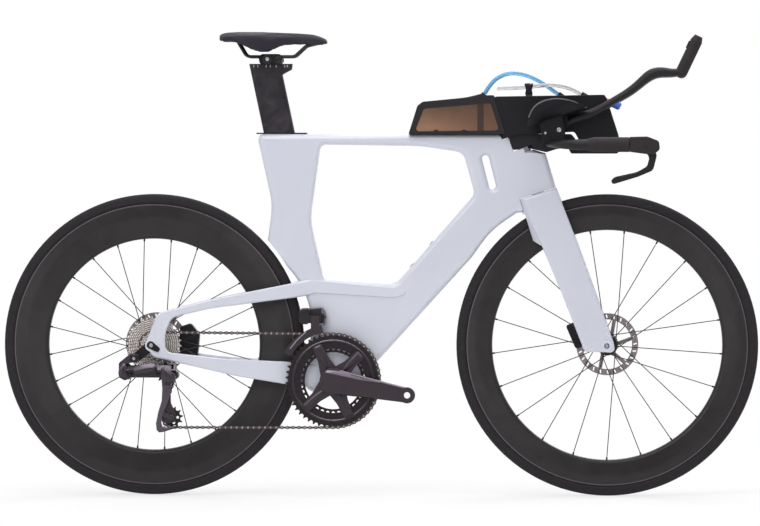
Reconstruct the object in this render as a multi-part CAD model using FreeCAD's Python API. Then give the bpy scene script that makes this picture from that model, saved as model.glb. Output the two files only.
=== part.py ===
import FreeCAD, Part
import math
import os

# Time trial bike, millimetres. Origin on the ground midway between the axles, +X forward, +Y left, +Z up.

# Wheels
WHEELBASE = 1021.0
TYRE_RADIUS = 339.0
TYRE_WIDTH = 28.0
RIM_RADIUS = 316.0
RIM_WIDTH = 29.0
FRONT_RIM_DEPTH = 58.0
REAR_RIM_DEPTH = 78.0
RIM_WALL = 3.0
FRONT_SPOKES = 21
REAR_SPOKES = 24
SPOKE_RADIUS = 1.0
NIPPLE_RADIUS = 2.0
NIPPLE_LENGTH = 10.0
AXLE_RADIUS = 6.0
AXLE_BORE = 3.0
FRONT_HUB_WIDTH = 100.0
REAR_HUB_WIDTH = 142.0
ROTOR_RADIUS = 70.0
ROTOR_THICK = 1.8
ROTOR_GAP = 0.5
FRONT_ROTOR_Y = 39.5
REAR_ROTOR_Y = 55.7
FRONT_FLANGE = 23.0
FRONT_FLANGE_Y = 27.0
REAR_FLANGE = 30.0
REAR_FLANGE_Y = 13.0
REAR_LEFT_FLANGE = 25.0
REAR_LEFT_Y = 35.0

# Drivetrain
CHAINSTAY = 414.6
BB_DROP = 80.0
CHAIN_PITCH = 12.7
CHAIN_Y = -50.0
ROLLER_RADIUS = 3.85
BIG_TEETH = 52
SMALL_TEETH = 36
RING_STEP = 7.0
PULLEY_TEETH = 11
COGS = [11, 12, 13, 14, 15, 16, 17, 19, 21, 24, 27, 30]
USED_COG = 3
COG_PITCH = 3.55
TOOTH_THICK = 1.6
TOOTH_HEIGHT = 2.5
CRANK_LENGTH = 170.0
CRANK_ANGLE = -10.6
PEDAL_HOLE = 7.14
SPINDLE_RADIUS = 12.0
SHELL_RADIUS = 27.0
SHELL_HALF = 43.0
CUP_RADIUS = 20.5
CAGE_LENGTH = 101.8

# Chain plates, crank arms and ring bores
PLATE_THICK = 0.7
PLATE_WAIST = 0.5
WAIST_RADIUS = 7.0
INNER_HALF = 1.1
PIN_RADIUS = 1.7
ARM_ROOT = 29.0
ARM_WAIST = 22.5
ARM_TIP = 17.0
ARM_TURNS = (55, 125, -125, -55)
BLADE_REACH = 88.0
BOLT_CIRCLE = 63.0
BOLT_RADIUS = 4.0
BIG_RING_BORE = 72.0
SMALL_RING_BORE = 64.0
FREEHUB_RADIUS = 17.3

# Derailleurs
CAGE_REST = math.radians(-85.5)
SLANT = math.radians(50)
LINK_LENGTH = 96.0
LINK_STEP = 14.0
LINK_HALF = 4.5
LINK_TALL = 8.0
PIN = 2.5
CAGE_GAP = 4.2
CAGE_PLATE = 1.5
SHIFTER_PIN_Y = -52.0
SHIFTER_PLATE = 17.0

# Frame and fork
FRAME_HALF = 24.0
FRAME_EDGE = 12.0
TOP_TUBE_Z = 813.0
STAY_THICK = 12.0
STAY_ANGLE = 8.9
STAY_EDGE = 4.5
HEAD_ANGLE = 72.5
FORK_RAKE = 46.0
CROWN_HEIGHT = 372.4
HEAD_LENGTH = 107.0
HEAD_RADIUS = 23.0
STEERER_RADIUS = 14.3
BEARING_RADIUS = 20.0
BEARING_HEIGHT = 8.0
UPPER_BEARING = 86.0
CROWN_RADIUS = 47.5
TURN_GAP = 1.5
LEG_THICK = 17.0
FORK_EDGE = 5.5
TYRE_GAP = 9.0

INSERT_SHARES = (0.2, 0.45)
INSERT_RADIUS = 4.0
INSERT_BORE = 2.5
INSERT_DEPTH = 14.0

# Seat
POST_CHORD = 69.0
POST_THICK = 24.0
POST_ANGLE = 78.1
POST_INSERT = 100.0
POST_DROP = 25.0
SLIDE_FIT = 0.15
SEAT_TOP_Z = 971.0
RAIL_RADIUS = 3.5
RAIL_HALF = 21.0
RAIL_BEND = 16.0

# Cockpit
BOX_HALF = 37.0
BOX_WALL = 3.0
FRONT_BOX_HALF = 37.0
FRONT_BOX_TURN = 46.0
BOX_GAP = 0.8
STEER_LIMIT = 40.0
STEM_HALF = 24.0
STEM_TURN = 33.0
BAR_HALF = 200.0
BAR_RADIUS = 12.0
TAPE_RADIUS = 16.5
EXTENSION_Y = 60.0
ARM_Y = 92.0
CUP_TUBE = 52.0
CUP_WALL = 3.0
PAD_THICK = 7.0
GRIP_RADIUS = 13.5
HOSE_RADIUS = 4.7
STRAW_RADIUS = 4.3

# Levers, grips and buttons
HOOD_X = 560.0
LEVER_X = 596.0
LEVER_Z = 784.0
LEVER_HALF = 5.5
LEVER_PIN = 2.5
BAR_Z = 789.0
SECTOR_GAP = 3.0
GRIP_ANGLE = math.radians(64.5)
GRIP_LENGTH = 76.0
BUTTON_LONG = 15.0
BUTTON_WIDE = 9.0
BUTTON_DEEP = 4.0
BUTTON_PROUD = 2.0

# Arm rests, boxes and the routes of hose and straw
CUP_TILT = math.radians(18)
CUP_X = 400.0
CUP_Z = 850.0
LID_Z = 889.0
PORT = 7.0
HOSE_Y = 4.0
STRAW_Y = -14.0
HOSE_POINTS = [(235, 904), (248, 927), (272, 945), (300, 951), (330, 945), (356, 933), (379, 918),
               (400, 902.5)]
STRAW_POINTS = [(452, 902), (431, 914), (406, 921), (378, 923.5), (344, 919.5), (303, 916.2), (263, 915.4)]

# Fits
RUN_FIT = 0.05
SKIN = 0.3

REAR_X = -WHEELBASE / 2
FRONT_X = WHEELBASE / 2
AXLE_Z = TYRE_RADIUS
BB_Z = AXLE_Z - BB_DROP
BB_X = REAR_X + math.sqrt(CHAINSTAY ** 2 - BB_DROP ** 2)

nodes = {}


def vec(x, y, z):
    return FreeCAD.Vector(x, y, z)


ORIGIN = vec(0, 0, 0)
ALONG_Y = vec(0, 1, 0)
STEER_UP = vec(-math.cos(math.radians(HEAD_ANGLE)), 0, math.sin(math.radians(HEAD_ANGLE)))
STEER_FORE = vec(math.sin(math.radians(HEAD_ANGLE)), 0, math.cos(math.radians(HEAD_ANGLE)))
FORK_FOOT = vec(FRONT_X, 0, AXLE_Z) - STEER_FORE * FORK_RAKE
HEAD_BASE = FORK_FOOT + STEER_UP * CROWN_HEIGHT
BOX_TURN = FRONT_BOX_TURN + BOX_GAP
BOX_SEAT = (TOP_TUBE_Z - HEAD_BASE.z) / STEER_UP.z


# Shape helpers

def side_point(a, b):
    return vec(a, 0, b)


def rounded_wire(corners, place=side_point):
    points = [place(c[0], c[1]) for c in corners]
    count = len(points)
    cuts = []
    for i in range(count):
        here = points[i]
        before = points[i - 1] - here
        after = points[(i + 1) % count] - here
        radius = corners[i][2] if len(corners[i]) > 2 else 0
        turn = math.pi - before.getAngle(after)
        reach = radius * math.tan(turn / 2)
        reach = min(reach, 0.499 * before.Length, 0.499 * after.Length)
        before.normalize()
        after.normalize()
        if reach < 0.01:
            cuts.append((here, here, here))
            continue
        radius = reach / math.tan(turn / 2)
        middle = before + after
        middle.normalize()
        depth = radius / math.cos(turn / 2) - radius
        cuts.append((here + before * reach, here + middle * depth, here + after * reach))
    edges = []
    for i in range(count):
        start, middle, end = cuts[i]
        following = cuts[(i + 1) % count][0]
        if start.distanceToPoint(end) > 0.01:
            edges.append(Part.Arc(start, middle, end).toShape())
        if end.distanceToPoint(following) > 0.001:
            edges.append(Part.LineSegment(end, following).toShape())
    return Part.Wire(edges)


def plate(corners, low, high):
    face = Part.Face(rounded_wire(corners))
    solid = face.extrude(vec(0, high - low, 0))
    solid.translate(vec(0, low, 0))
    return solid


def plan_plate(corners, low, high):
    wire = rounded_wire(corners, lambda a, b: vec(a, b, low))
    return Part.Face(wire).extrude(vec(0, 0, high - low))


def turned(corners, x, z):
    wire = rounded_wire(corners, lambda radius, y: vec(x + radius, y, z))
    return Part.Face(wire).revolve(vec(x, 0, z), ALONG_Y, 360)


def rod(start, direction, radius, length):
    return Part.makeCylinder(radius, length, start, direction)


def cross_rod(x, z, radius, low, high):
    return rod(vec(x, low, z), ALONG_Y, radius, high - low)


def ring(x, z, outer, inner, low, high):
    return cross_rod(x, z, outer, low, high).cut(cross_rod(x, z, inner, low - 1, high + 1))


def mirrored(shape):
    return shape.mirror(ORIGIN, ALONG_Y)


def both_sides(shape):
    return Part.makeCompound([shape, mirrored(shape)])


def face_edges(shape, levels):
    found = []
    for edge in shape.Edges:
        box = edge.BoundBox
        for level in levels:
            if abs(box.YMin - level) < 0.01 and abs(box.YMax - level) < 0.01:
                found.append(edge)
    return found


def soft_plate(corners, low, high, radius, holes=()):
    solid = plate(corners, low, high)
    for hole in holes:
        solid = solid.cut(plate(hole, low - 1, high + 1))
    return solid.makeFillet(radius, face_edges(solid, (low, high)))


def polar(x, z, radius, angle):
    return vec(x + radius * math.cos(angle), 0, z + radius * math.sin(angle))


def steer_point(fore, up):
    return HEAD_BASE + STEER_FORE * fore + STEER_UP * up


def steer_rod(radius, low, high):
    return rod(HEAD_BASE + STEER_UP * low, STEER_UP, radius, high - low)


def loft(wires):
    return Part.makeLoft(wires, True, False)


def oval(centre, along, across, half_up, half_across):
    up = along.cross(across)
    up.normalize()
    side = vec(across.x, across.y, across.z)
    side.normalize()
    points = []
    for step in range(8):
        angle = math.pi * step / 4
        points.append(centre + side * (half_across * math.cos(angle)) + up * (half_up * math.sin(angle)))
    curve = Part.BSplineCurve()
    curve.interpolate(Points=points, PeriodicFlag=True)
    return Part.Wire([curve.toShape()])


def eased(stations, steps):
    result = []
    last = len(stations) - 1
    for i in range(last):
        rows = (stations[max(i - 1, 0)], stations[i], stations[i + 1], stations[min(i + 2, last)])
        for step in range(steps):
            t = step / steps
            point = []
            for p, q, r, s in zip(*rows):
                square = 2 * p - 5 * q + 4 * r - s
                cube = 3 * q - p - 3 * r + s
                point.append(0.5 * (2 * q + (r - p) * t + square * t ** 2 + cube * t ** 3))
            result.append(tuple(point))
    result.append(stations[last])
    return result


def tube_path(points):
    edges = []
    last = points[0]
    radii = []
    for i in range(1, len(points) - 1):
        here = points[i]
        before = points[i - 1] - here
        after = points[i + 1] - here
        shorter = min(before.Length, after.Length)
        turn = math.pi - before.getAngle(after)
        reach = 0.45 * shorter
        radius = reach / math.tan(turn / 2)
        radii.append(round(radius, 1))
        before.normalize()
        after.normalize()
        middle = before + after
        middle.normalize()
        start = here + before * reach
        end = here + after * reach
        depth = radius / math.cos(turn / 2) - radius
        edges.append(Part.LineSegment(last, start).toShape())
        edges.append(Part.Arc(start, here + middle * depth, end).toShape())
        last = end
    edges.append(Part.LineSegment(last, points[-1]).toShape())
    return Part.Wire(edges), radii


def bent_path(points, radius):
    edges = []
    last = points[0]
    for i in range(1, len(points) - 1):
        before = points[i - 1] - points[i]
        after = points[i + 1] - points[i]
        turn = math.pi - before.getAngle(after)
        before.normalize()
        after.normalize()
        middle = before + after
        middle.normalize()
        reach = radius * math.tan(turn / 2)
        start = points[i] + before * reach
        end = points[i] + after * reach
        edges.append(Part.LineSegment(last, start).toShape())
        depth = radius / math.cos(turn / 2) - radius
        edges.append(Part.Arc(start, points[i] + middle * depth, end).toShape())
        last = end
    edges.append(Part.LineSegment(last, points[-1]).toShape())
    return Part.Wire(edges)


def bent_tube(points, radius):
    path, radii = tube_path(points)
    start = points[1] - points[0]
    circle = Part.Wire([Part.Circle(points[0], start, radius).toShape()])
    tube = path.makePipeShell([circle], True, False)
    return tube, path.Length, radii


# Toothed wheels

def pitch_radius(teeth):
    return CHAIN_PITCH / (2 * math.sin(math.pi / teeth))


def sprocket(teeth, x, z, y, phase, bore):
    pitch = pitch_radius(teeth)
    tip = pitch + TOOTH_HEIGHT
    seat = ROLLER_RADIUS + 0.1
    step = 2 * math.pi / teeth
    tip_half = 0.9 / tip
    spread = math.radians(60)
    edges = []
    corners = []
    for i in range(teeth):
        angle = phase + i * step
        centre = polar(x, z, pitch, angle)
        seat_points = []
        for offset in (spread, 0, -spread):
            away = angle + math.pi + offset
            seat_points.append(centre + vec(seat * math.cos(away), 0, seat * math.sin(away)))
        tips = [polar(x, z, tip, angle + step / 2 - tip_half), polar(x, z, tip, angle + step / 2 + tip_half)]
        corners.append((seat_points, tips))
    for i in range(teeth):
        seat_points, tips = corners[i]
        start, middle, end = seat_points
        if polar_angle(start, x, z, phase + i * step) > 0:
            start, end = end, start
        following = corners[(i + 1) % teeth][0]
        next_start = following[0]
        if polar_angle(next_start, x, z, phase + (i + 1) * step) > 0:
            next_start = following[2]
        edges.append(Part.Arc(start, middle, end).toShape())
        edges.append(Part.LineSegment(end, tips[0]).toShape())
        edges.append(Part.LineSegment(tips[0], tips[1]).toShape())
        edges.append(Part.LineSegment(tips[1], next_start).toShape())
    disc = Part.Face(Part.Wire(edges)).extrude(vec(0, TOOTH_THICK, 0))
    disc.translate(vec(0, y - TOOTH_THICK / 2, 0))
    return disc.cut(cross_rod(x, z, bore, y - TOOTH_THICK, y + TOOTH_THICK))


def polar_angle(point, x, z, base):
    angle = math.atan2(point.z - z, point.x - x) - base
    return math.atan2(math.sin(angle), math.cos(angle))


# Chain run: it leaves the big ring at the top, rounds the cog, both pulleys and the ring again

GUIDE_X = REAR_X + 31.0
GUIDE_Z = AXLE_Z - 62.0


class ChainRun:
    def __init__(self, cage_angle):
        tension_x = GUIDE_X + CAGE_LENGTH * math.cos(cage_angle)
        tension_z = GUIDE_Z + CAGE_LENGTH * math.sin(cage_angle)
        self.wheels = [
            (BB_X, BB_Z, BIG_TEETH, 1),
            (REAR_X, AXLE_Z, COGS[USED_COG], 1),
            (GUIDE_X, GUIDE_Z, PULLEY_TEETH, -1),
            (tension_x, tension_z, PULLEY_TEETH, 1),
        ]
        count = len(self.wheels)
        headings = []
        spans = []
        for i in range(count):
            x0, z0, teeth0, sign0 = self.wheels[i]
            x1, z1, teeth1, sign1 = self.wheels[(i + 1) % count]
            away = math.hypot(x1 - x0, z1 - z0)
            lean = pitch_radius(teeth1) * sign1 - pitch_radius(teeth0) * sign0
            headings.append(math.atan2(z1 - z0, x1 - x0) - math.asin(lean / away))
            spans.append(math.sqrt(away ** 2 - lean ** 2))
        self.headings = headings
        self.pieces = []
        for i in range(count):
            self.pieces.append(("span", i, spans[i] / CHAIN_PITCH))
            wheel = (i + 1) % count
            teeth, sign = self.wheels[wheel][2], self.wheels[wheel][3]
            turn = (headings[wheel] - headings[i]) * sign % (2 * math.pi)
            self.pieces.append(("arc", wheel, turn * teeth / (2 * math.pi)))
        self.pitches = sum(piece[2] for piece in self.pieces)

    def contact(self, wheel, heading):
        x, z, teeth, sign = self.wheels[wheel]
        return heading - sign * math.pi / 2

    def place(self, run):
        for kind, index, size in self.pieces:
            if run <= size:
                break
            run -= size
        if kind == "span":
            x, z, teeth, sign = self.wheels[index]
            heading = self.headings[index]
            start = polar(x, z, pitch_radius(teeth), self.contact(index, heading))
            return start + vec(math.cos(heading), 0, math.sin(heading)) * (run * CHAIN_PITCH)
        x, z, teeth, sign = self.wheels[index]
        angle = self.contact(index, self.headings[index - 1]) + sign * run * 2 * math.pi / teeth
        return polar(x, z, pitch_radius(teeth), angle)

    def phase(self, wheel):
        run = 0
        for kind, index, size in self.pieces:
            if kind == "arc" and index == wheel:
                x, z, teeth, sign = self.wheels[wheel]
                first = math.ceil(run) - run
                angle = self.contact(wheel, self.headings[wheel - 1])
                return angle + sign * first * 2 * math.pi / teeth
            run += size


def settled_run():
    links = 2 * round(ChainRun(CAGE_REST).pitches / 2)
    low = CAGE_REST - 0.5
    high = CAGE_REST + 0.5
    rising = ChainRun(high).pitches > ChainRun(low).pitches
    for step in range(60):
        middle = (low + high) / 2
        if (ChainRun(middle).pitches < links) == rising:
            low = middle
        else:
            high = middle
    return ChainRun(middle), links, middle


RUN, LINKS, CAGE_ANGLE = settled_run()
TENSION_X, TENSION_Z = RUN.wheels[3][0], RUN.wheels[3][1]

OUTER_HALF = INNER_HALF + PLATE_THICK + 0.08


def link_plate(low, high, height):
    half = CHAIN_PITCH / 2
    waist = PLATE_WAIST * height
    corners = [(-half - height, -height, height), (0, -waist, WAIST_RADIUS),
               (half + height, -height, height),
               (half + height, height, height), (0, waist, WAIST_RADIUS), (-half - height, height, height)]
    return plate(corners, low, high)


def inner_link():
    half = CHAIN_PITCH / 2
    body = link_plate(INNER_HALF, INNER_HALF + PLATE_THICK, 4.1)
    body = body.fuse(link_plate(-INNER_HALF - PLATE_THICK, -INNER_HALF, 4.1))
    for x in (-half, half):
        body = body.fuse(cross_rod(x, 0, ROLLER_RADIUS, -INNER_HALF, INNER_HALF))
    for x in (-half, half):
        body = body.cut(cross_rod(x, 0, PIN_RADIUS + 0.15, -5, 5))
    return body


def outer_link():
    half = CHAIN_PITCH / 2
    body = link_plate(OUTER_HALF, OUTER_HALF + PLATE_THICK, 3.8)
    body = body.fuse(link_plate(-OUTER_HALF - PLATE_THICK, -OUTER_HALF, 3.8))
    for x in (-half, half):
        body = body.fuse(cross_rod(x, 0, PIN_RADIUS, -OUTER_HALF, OUTER_HALF))
    return body


def make_chain():
    kinds = [inner_link(), outer_link()]
    pins = [RUN.place(i) for i in range(LINKS)]
    links = []
    for i in range(LINKS):
        start = pins[i]
        end = pins[(i + 1) % LINKS]
        angle = math.degrees(math.atan2(end.z - start.z, end.x - start.x))
        link = kinds[i % 2].copy()
        middle = (start + end) * 0.5
        turn = FreeCAD.Rotation(vec(0, -1, 0), angle)
        link.Placement = FreeCAD.Placement(vec(middle.x, CHAIN_Y, middle.z), turn)
        links.append(link)
    return Part.makeCompound(links)


# Wheels

def make_tyre(x):
    half = TYRE_WIDTH / 2
    bed = RIM_RADIUS
    crown = TYRE_RADIUS
    outer = [(bed, -10.5), (bed + 6, -half, 6), (crown, -half + 1.5, half - 2.5),
             (crown, half - 1.5, half - 2.5),
             (bed + 6, half, 6), (bed, 10.5)]
    inner = [(bed + 2.5, -8, 2), (crown - 3, -half + 4, 9), (crown - 3, half - 4, 9), (bed + 2.5, 8, 2)]
    return turned(outer, x, AXLE_Z).cut(turned(inner, x, AXLE_Z))


def rim_corners(depth, inset):
    half = RIM_WIDTH / 2 - inset
    top = RIM_RADIUS - inset
    bottom = RIM_RADIUS - depth + inset
    nose = 11.0 - inset
    return [(top, -half + 1.5, 1), (top - depth * 0.35, -half - 0.5, 60), (bottom, -nose, nose - 1),
            (bottom, nose, nose - 1), (top - depth * 0.35, half + 0.5, 60), (top, half - 1.5, 1)]


def spoke_pose(x, angle, side_y, offset, hub_radius, rim_radius):
    radial = vec(math.cos(angle), 0, math.sin(angle))
    around = vec(-math.sin(angle), 0, math.cos(angle))
    centre = vec(x, 0, AXLE_Z)
    rim = centre + radial * rim_radius
    hub = centre + radial * hub_radius + around * offset + vec(0, side_y, 0)
    return hub, rim


def spoke_table(count, front):
    table = []
    for i in range(count):
        angle = math.pi / 2 + 2 * math.pi * i / count
        if front:
            angle += math.radians(8.5)
            kind = i % 3
            if kind == 0:
                table.append((angle, -FRONT_FLANGE_Y, 0.0, FRONT_FLANGE - 4.0))
            else:
                sign = 1 if kind == 1 else -1
                table.append((angle, FRONT_FLANGE_Y + 1.4 * sign, sign * 19.0, 6.0))
        else:
            angle += math.radians(5.6)
            right = i % 2 == 0
            sign = 1 if i % 4 < 2 else -1
            if right:
                table.append((angle, -REAR_FLANGE_Y + 1.4 * sign, sign * 26.0, 8.0))
            else:
                table.append((angle, REAR_LEFT_Y + 1.4 * sign, sign * 21.0, 6.0))
    return table


def make_spokes(x, count, front, depth):
    inner = RIM_RADIUS - depth
    spokes = []
    nipples = []
    for angle, side_y, offset, hub_radius in spoke_table(count, front):
        hub, rim = spoke_pose(x, angle, side_y, offset, hub_radius, inner - NIPPLE_LENGTH / 2)
        spokes.append(rod(hub, rim - hub, SPOKE_RADIUS, (rim - hub).Length))
        nipples.append(rod(rim, rim - hub, NIPPLE_RADIUS, NIPPLE_LENGTH))
    return spokes, nipples


def make_rim(x, depth, nipples):
    rim = turned(rim_corners(depth, 0), x, AXLE_Z).cut(turned(rim_corners(depth, RIM_WALL), x, AXLE_Z))
    return rim.cut(Part.makeCompound(nipples))


def hub_shell(x, corners, spokes):
    shell = turned(corners, x, AXLE_Z)
    return shell.cut(Part.makeCompound(spokes))


def make_front_hub(x, spokes):
    bore = AXLE_RADIUS + RUN_FIT
    end = FRONT_HUB_WIDTH / 2 - SKIN
    corners = [(bore, -end), (10, -end), (10, -end + 9), (14, -end + 14),
               (FRONT_FLANGE, -FRONT_FLANGE_Y - 3.5, 2), (FRONT_FLANGE, -FRONT_FLANGE_Y + 3.5, 2),
               (13, -FRONT_FLANGE_Y + 9, 6), (13, FRONT_FLANGE_Y - 12, 6),
               (FRONT_FLANGE, FRONT_FLANGE_Y - 5, 2), (FRONT_FLANGE, FRONT_FLANGE_Y + 5, 2),
               (17, FRONT_ROTOR_Y - 4), (17, FRONT_ROTOR_Y + 4), (10, FRONT_ROTOR_Y + 5),
               (10, end), (bore, end)]
    return hub_shell(x, corners, spokes)


def make_rear_hub(x, spokes):
    bore = AXLE_RADIUS + RUN_FIT
    end = REAR_HUB_WIDTH / 2 - SKIN
    right = REAR_FLANGE_Y + 5
    corners = [(bore, -right), (REAR_FLANGE - 3, -right, 1), (REAR_FLANGE, -REAR_FLANGE_Y - 3.5, 1),
               (REAR_FLANGE, -REAR_FLANGE_Y + 5, 2), (16, -REAR_FLANGE_Y + 12, 6), (14, REAR_LEFT_Y - 12, 6),
               (REAR_LEFT_FLANGE, REAR_LEFT_Y - 5, 2), (REAR_LEFT_FLANGE, REAR_LEFT_Y + 5, 2),
               (17, REAR_LEFT_Y + 9), (17, REAR_ROTOR_Y + 4), (10, REAR_ROTOR_Y + 5), (10, end), (bore, end)]
    return hub_shell(x, corners, spokes)


def make_rotor(x, y):
    low = y - ROTOR_THICK / 2
    high = y + ROTOR_THICK / 2
    disc = ring(x, AXLE_Z, ROTOR_RADIUS, ROTOR_RADIUS - 14, low, high)
    disc = disc.fuse(ring(x, AXLE_Z, 25, 17, low, high))
    arms = []
    slots = []
    for i in range(6):
        lean = plate([(20, -4, 2), (ROTOR_RADIUS - 12, 10, 2), (ROTOR_RADIUS - 12, 19, 2), (20, 5, 2)],
                     low, high)
        lean.rotate(ORIGIN, ALONG_Y, 60 * i)
        lean.translate(vec(x, 0, AXLE_Z))
        arms.append(lean)
    for i in range(24):
        slot = plate([(ROTOR_RADIUS - 11, -1.6, 1.5), (ROTOR_RADIUS - 3, 0.8, 1.5),
                      (ROTOR_RADIUS - 3, 4, 1.5), (ROTOR_RADIUS - 11, 1.6, 1.5)], low - 1, high + 1)
        slot.rotate(ORIGIN, ALONG_Y, 15 * i)
        slot.translate(vec(x, 0, AXLE_Z))
        slots.append(slot)
    for arm in arms:
        disc = disc.fuse(arm)
    disc = disc.cut(Part.makeCompound(slots))
    return disc.cut(cross_rod(x, AXLE_Z, 17, low - 1, high + 1))


def make_axle(x, half):
    return ring(x, AXLE_Z, AXLE_RADIUS, AXLE_BORE, -half, half)


DROP_OUT = REAR_HUB_WIDTH / 2 + STAY_THICK
LEG_OUT = FRONT_HUB_WIDTH / 2 + LEG_THICK

front_spokes, front_nipples = make_spokes(FRONT_X, FRONT_SPOKES, True, FRONT_RIM_DEPTH)
rear_spokes, rear_nipples = make_spokes(REAR_X, REAR_SPOKES, False, REAR_RIM_DEPTH)
nodes["front_tyre"] = make_tyre(FRONT_X)
nodes["front_rim"] = make_rim(FRONT_X, FRONT_RIM_DEPTH, front_nipples)
nodes["front_spokes"] = Part.makeCompound(front_spokes + front_nipples)
nodes["front_hub"] = make_front_hub(FRONT_X, front_spokes)
nodes["front_rotor"] = make_rotor(FRONT_X, FRONT_ROTOR_Y)
nodes["rear_tyre"] = make_tyre(REAR_X)
nodes["rear_rim"] = make_rim(REAR_X, REAR_RIM_DEPTH, rear_nipples)
nodes["rear_spokes"] = Part.makeCompound(rear_spokes + rear_nipples)
nodes["rear_hub"] = make_rear_hub(REAR_X, rear_spokes)
nodes["rear_rotor"] = make_rotor(REAR_X, REAR_ROTOR_Y)
nodes["front_axle"] = make_axle(FRONT_X, LEG_OUT)
nodes["rear_axle"] = make_axle(REAR_X, DROP_OUT)

# Frame

WHEEL_CUT = TYRE_RADIUS + 10.0
DOWN_CUT = TYRE_RADIUS + 20.0


def tangent_corner(x, z, radius, first, last):
    middle = math.radians((first + last) / 2)
    reach = radius / math.cos(math.radians((first - last) / 2))
    return (x + reach * math.cos(middle), z + reach * math.sin(middle), radius)


def frame_outline():
    floor = BB_Z - SHELL_RADIUS
    return [
        (-278, TOP_TUBE_Z, 13),
        (-243, 655, 160),
        (-254, 568, 14),
        tangent_corner(REAR_X, AXLE_Z, WHEEL_CUT, 38, -8),
        (BB_X - 72, floor, 26),
        (BB_X + 35, floor, 42),
        (207, 536, 120),
        tangent_corner(FRONT_X, AXLE_Z, DOWN_CUT, 147, 124),
        (308, 636, 13),
        (412, 640, 16),
        (359, TOP_TUBE_Z, 20),
    ]


MAIN_TRIANGLE = [(-134, 789, 14), (90, 785.5, 300), (187, 771.5, 26), (213, 678, 24), (37, 477.5, 26),
                 (-127, 487, 18), (-157, 620, 150)]
HEAD_SLOT = [(228, 763, 7.4), (243, 767, 7.4), (262, 692, 7.4), (247, 688, 7.4)]
RIB = [(-200, 480, 6), (-156, 486, 100), (44, 467, 10), (66, 455, 8), (33, 445, 10), (-156, 456, 100),
       (-200, 447, 6)]


def post_axis_point(up):
    angle = math.radians(POST_ANGLE)
    return vec(-228.0 - up * math.cos(angle), 0, 817.5 + up * math.sin(angle))


def post_wire(up, grow):
    angle = math.radians(POST_ANGLE)
    centre = post_axis_point(up)
    fore = vec(math.sin(angle), 0, math.cos(angle))
    half = POST_CHORD / 2 + grow
    thick = POST_THICK / 2 + grow

    def place(a, b):
        return centre + fore * a + vec(0, b, 0)

    corners = [(-half, -thick * 0.55, 4), (0, -thick - 0.5, 60), (half, -thick * 0.8, thick * 0.75),
               (half, thick * 0.8, thick * 0.75), (0, thick + 0.5, 60), (-half, thick * 0.55, 4)]
    return rounded_wire(corners, place)


def post_prism(low, high, grow):
    face = Part.Face(post_wire(low, grow))
    return face.extrude(post_axis_point(high) - post_axis_point(low))


def fore_half(low, high, start=0):
    block = Part.makeBox(400, 400, high - low, vec(start, -200, low))
    turn = FreeCAD.Rotation(vec(1, 0, 0), STEER_FORE)
    block.Placement = FreeCAD.Placement(HEAD_BASE, turn)
    return block


def turn_sector(half_angle):
    reach = 200.0
    side = reach * math.tan(math.radians(half_angle))
    face = Part.Face(Part.makePolygon([ORIGIN, vec(reach, -side, 0), vec(reach, side, 0), ORIGIN]))
    wedge = face.extrude(vec(0, 0, reach))
    wedge.Placement = FreeCAD.Placement(HEAD_BASE, FreeCAD.Rotation(vec(1, 0, 0), STEER_FORE))
    return wedge


def stem_room(grow, sector):
    neck = steer_rod(STEM_TURN + grow, HEAD_LENGTH - grow, HEAD_LENGTH + 70)
    profile = [steer_point(0, HEAD_LENGTH - grow), steer_point(6, HEAD_LENGTH - grow),
               steer_point(46, HEAD_LENGTH - 27 - grow), steer_point(90, HEAD_LENGTH - 57 - grow),
               steer_point(90, HEAD_LENGTH + 70), steer_point(0, HEAD_LENGTH + 70)]
    face = Part.Face(Part.makePolygon(profile + profile[:1]))
    cone = face.revolve(HEAD_BASE, STEER_UP, 360)
    return neck.fuse(cone.common(sector))


DOWN_SLOPE = vec(213 - 37, 0, 678 - 477.5)


def insert_axis(share):
    out = vec(-DOWN_SLOPE.z, 0, DOWN_SLOPE.x)
    out.normalize()
    return vec(37, 0, 477.5) + DOWN_SLOPE * share, out


def make_inserts():
    inserts = []
    for share in INSERT_SHARES:
        seat, out = insert_axis(share)
        body = rod(seat - out * INSERT_DEPTH, out, INSERT_RADIUS, INSERT_DEPTH)
        body = body.fuse(rod(seat, out, INSERT_RADIUS + 2.5, 2))
        inserts.append(body.cut(rod(seat - out * (INSERT_DEPTH - 2), out, INSERT_BORE, INSERT_DEPTH + 5)))
    return Part.makeCompound(inserts)


def make_frame():
    body = soft_plate(frame_outline(), -FRAME_HALF, FRAME_HALF, FRAME_EDGE, (MAIN_TRIANGLE, HEAD_SLOT))
    rib = soft_plate(RIB, -FRAME_HALF - 3, FRAME_HALF + 3, 2.5)
    barrel = steer_rod(HEAD_RADIUS, 0, HEAD_LENGTH + 5)
    shell = cross_rod(BB_X, BB_Z, SHELL_RADIUS, -SHELL_HALF, SHELL_HALF)
    body = body.fuse([rib, barrel, shell])
    body = body.cut(steer_rod(CROWN_RADIUS + TURN_GAP, -120, 0))
    body = body.cut(stem_room(TURN_GAP, fore_half(0, HEAD_LENGTH + 90)))
    body = body.cut(steer_rod(BOX_TURN, BOX_SEAT - TURN_GAP, BOX_SEAT + 50))
    body = body.cut(cross_rod(REAR_X, AXLE_Z, WHEEL_CUT, -100, 100))
    body = body.cut(steer_rod(STEERER_RADIUS + 2, -1, HEAD_LENGTH + 1))
    body = body.cut(steer_rod(BEARING_RADIUS, -1, BEARING_HEIGHT))
    body = body.cut(steer_rod(BEARING_RADIUS, UPPER_BEARING, HEAD_LENGTH))
    body = body.cut(post_prism(-POST_INSERT - POST_DROP, 30, SLIDE_FIT))
    for share in INSERT_SHARES:
        seat, out = insert_axis(share)
        body = body.cut(rod(seat - out * INSERT_DEPTH, out, INSERT_RADIUS, INSERT_DEPTH + 5))
    return body.cut(cross_rod(BB_X, BB_Z, CUP_RADIUS, -SHELL_HALF - 1, SHELL_HALF + 1))


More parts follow.
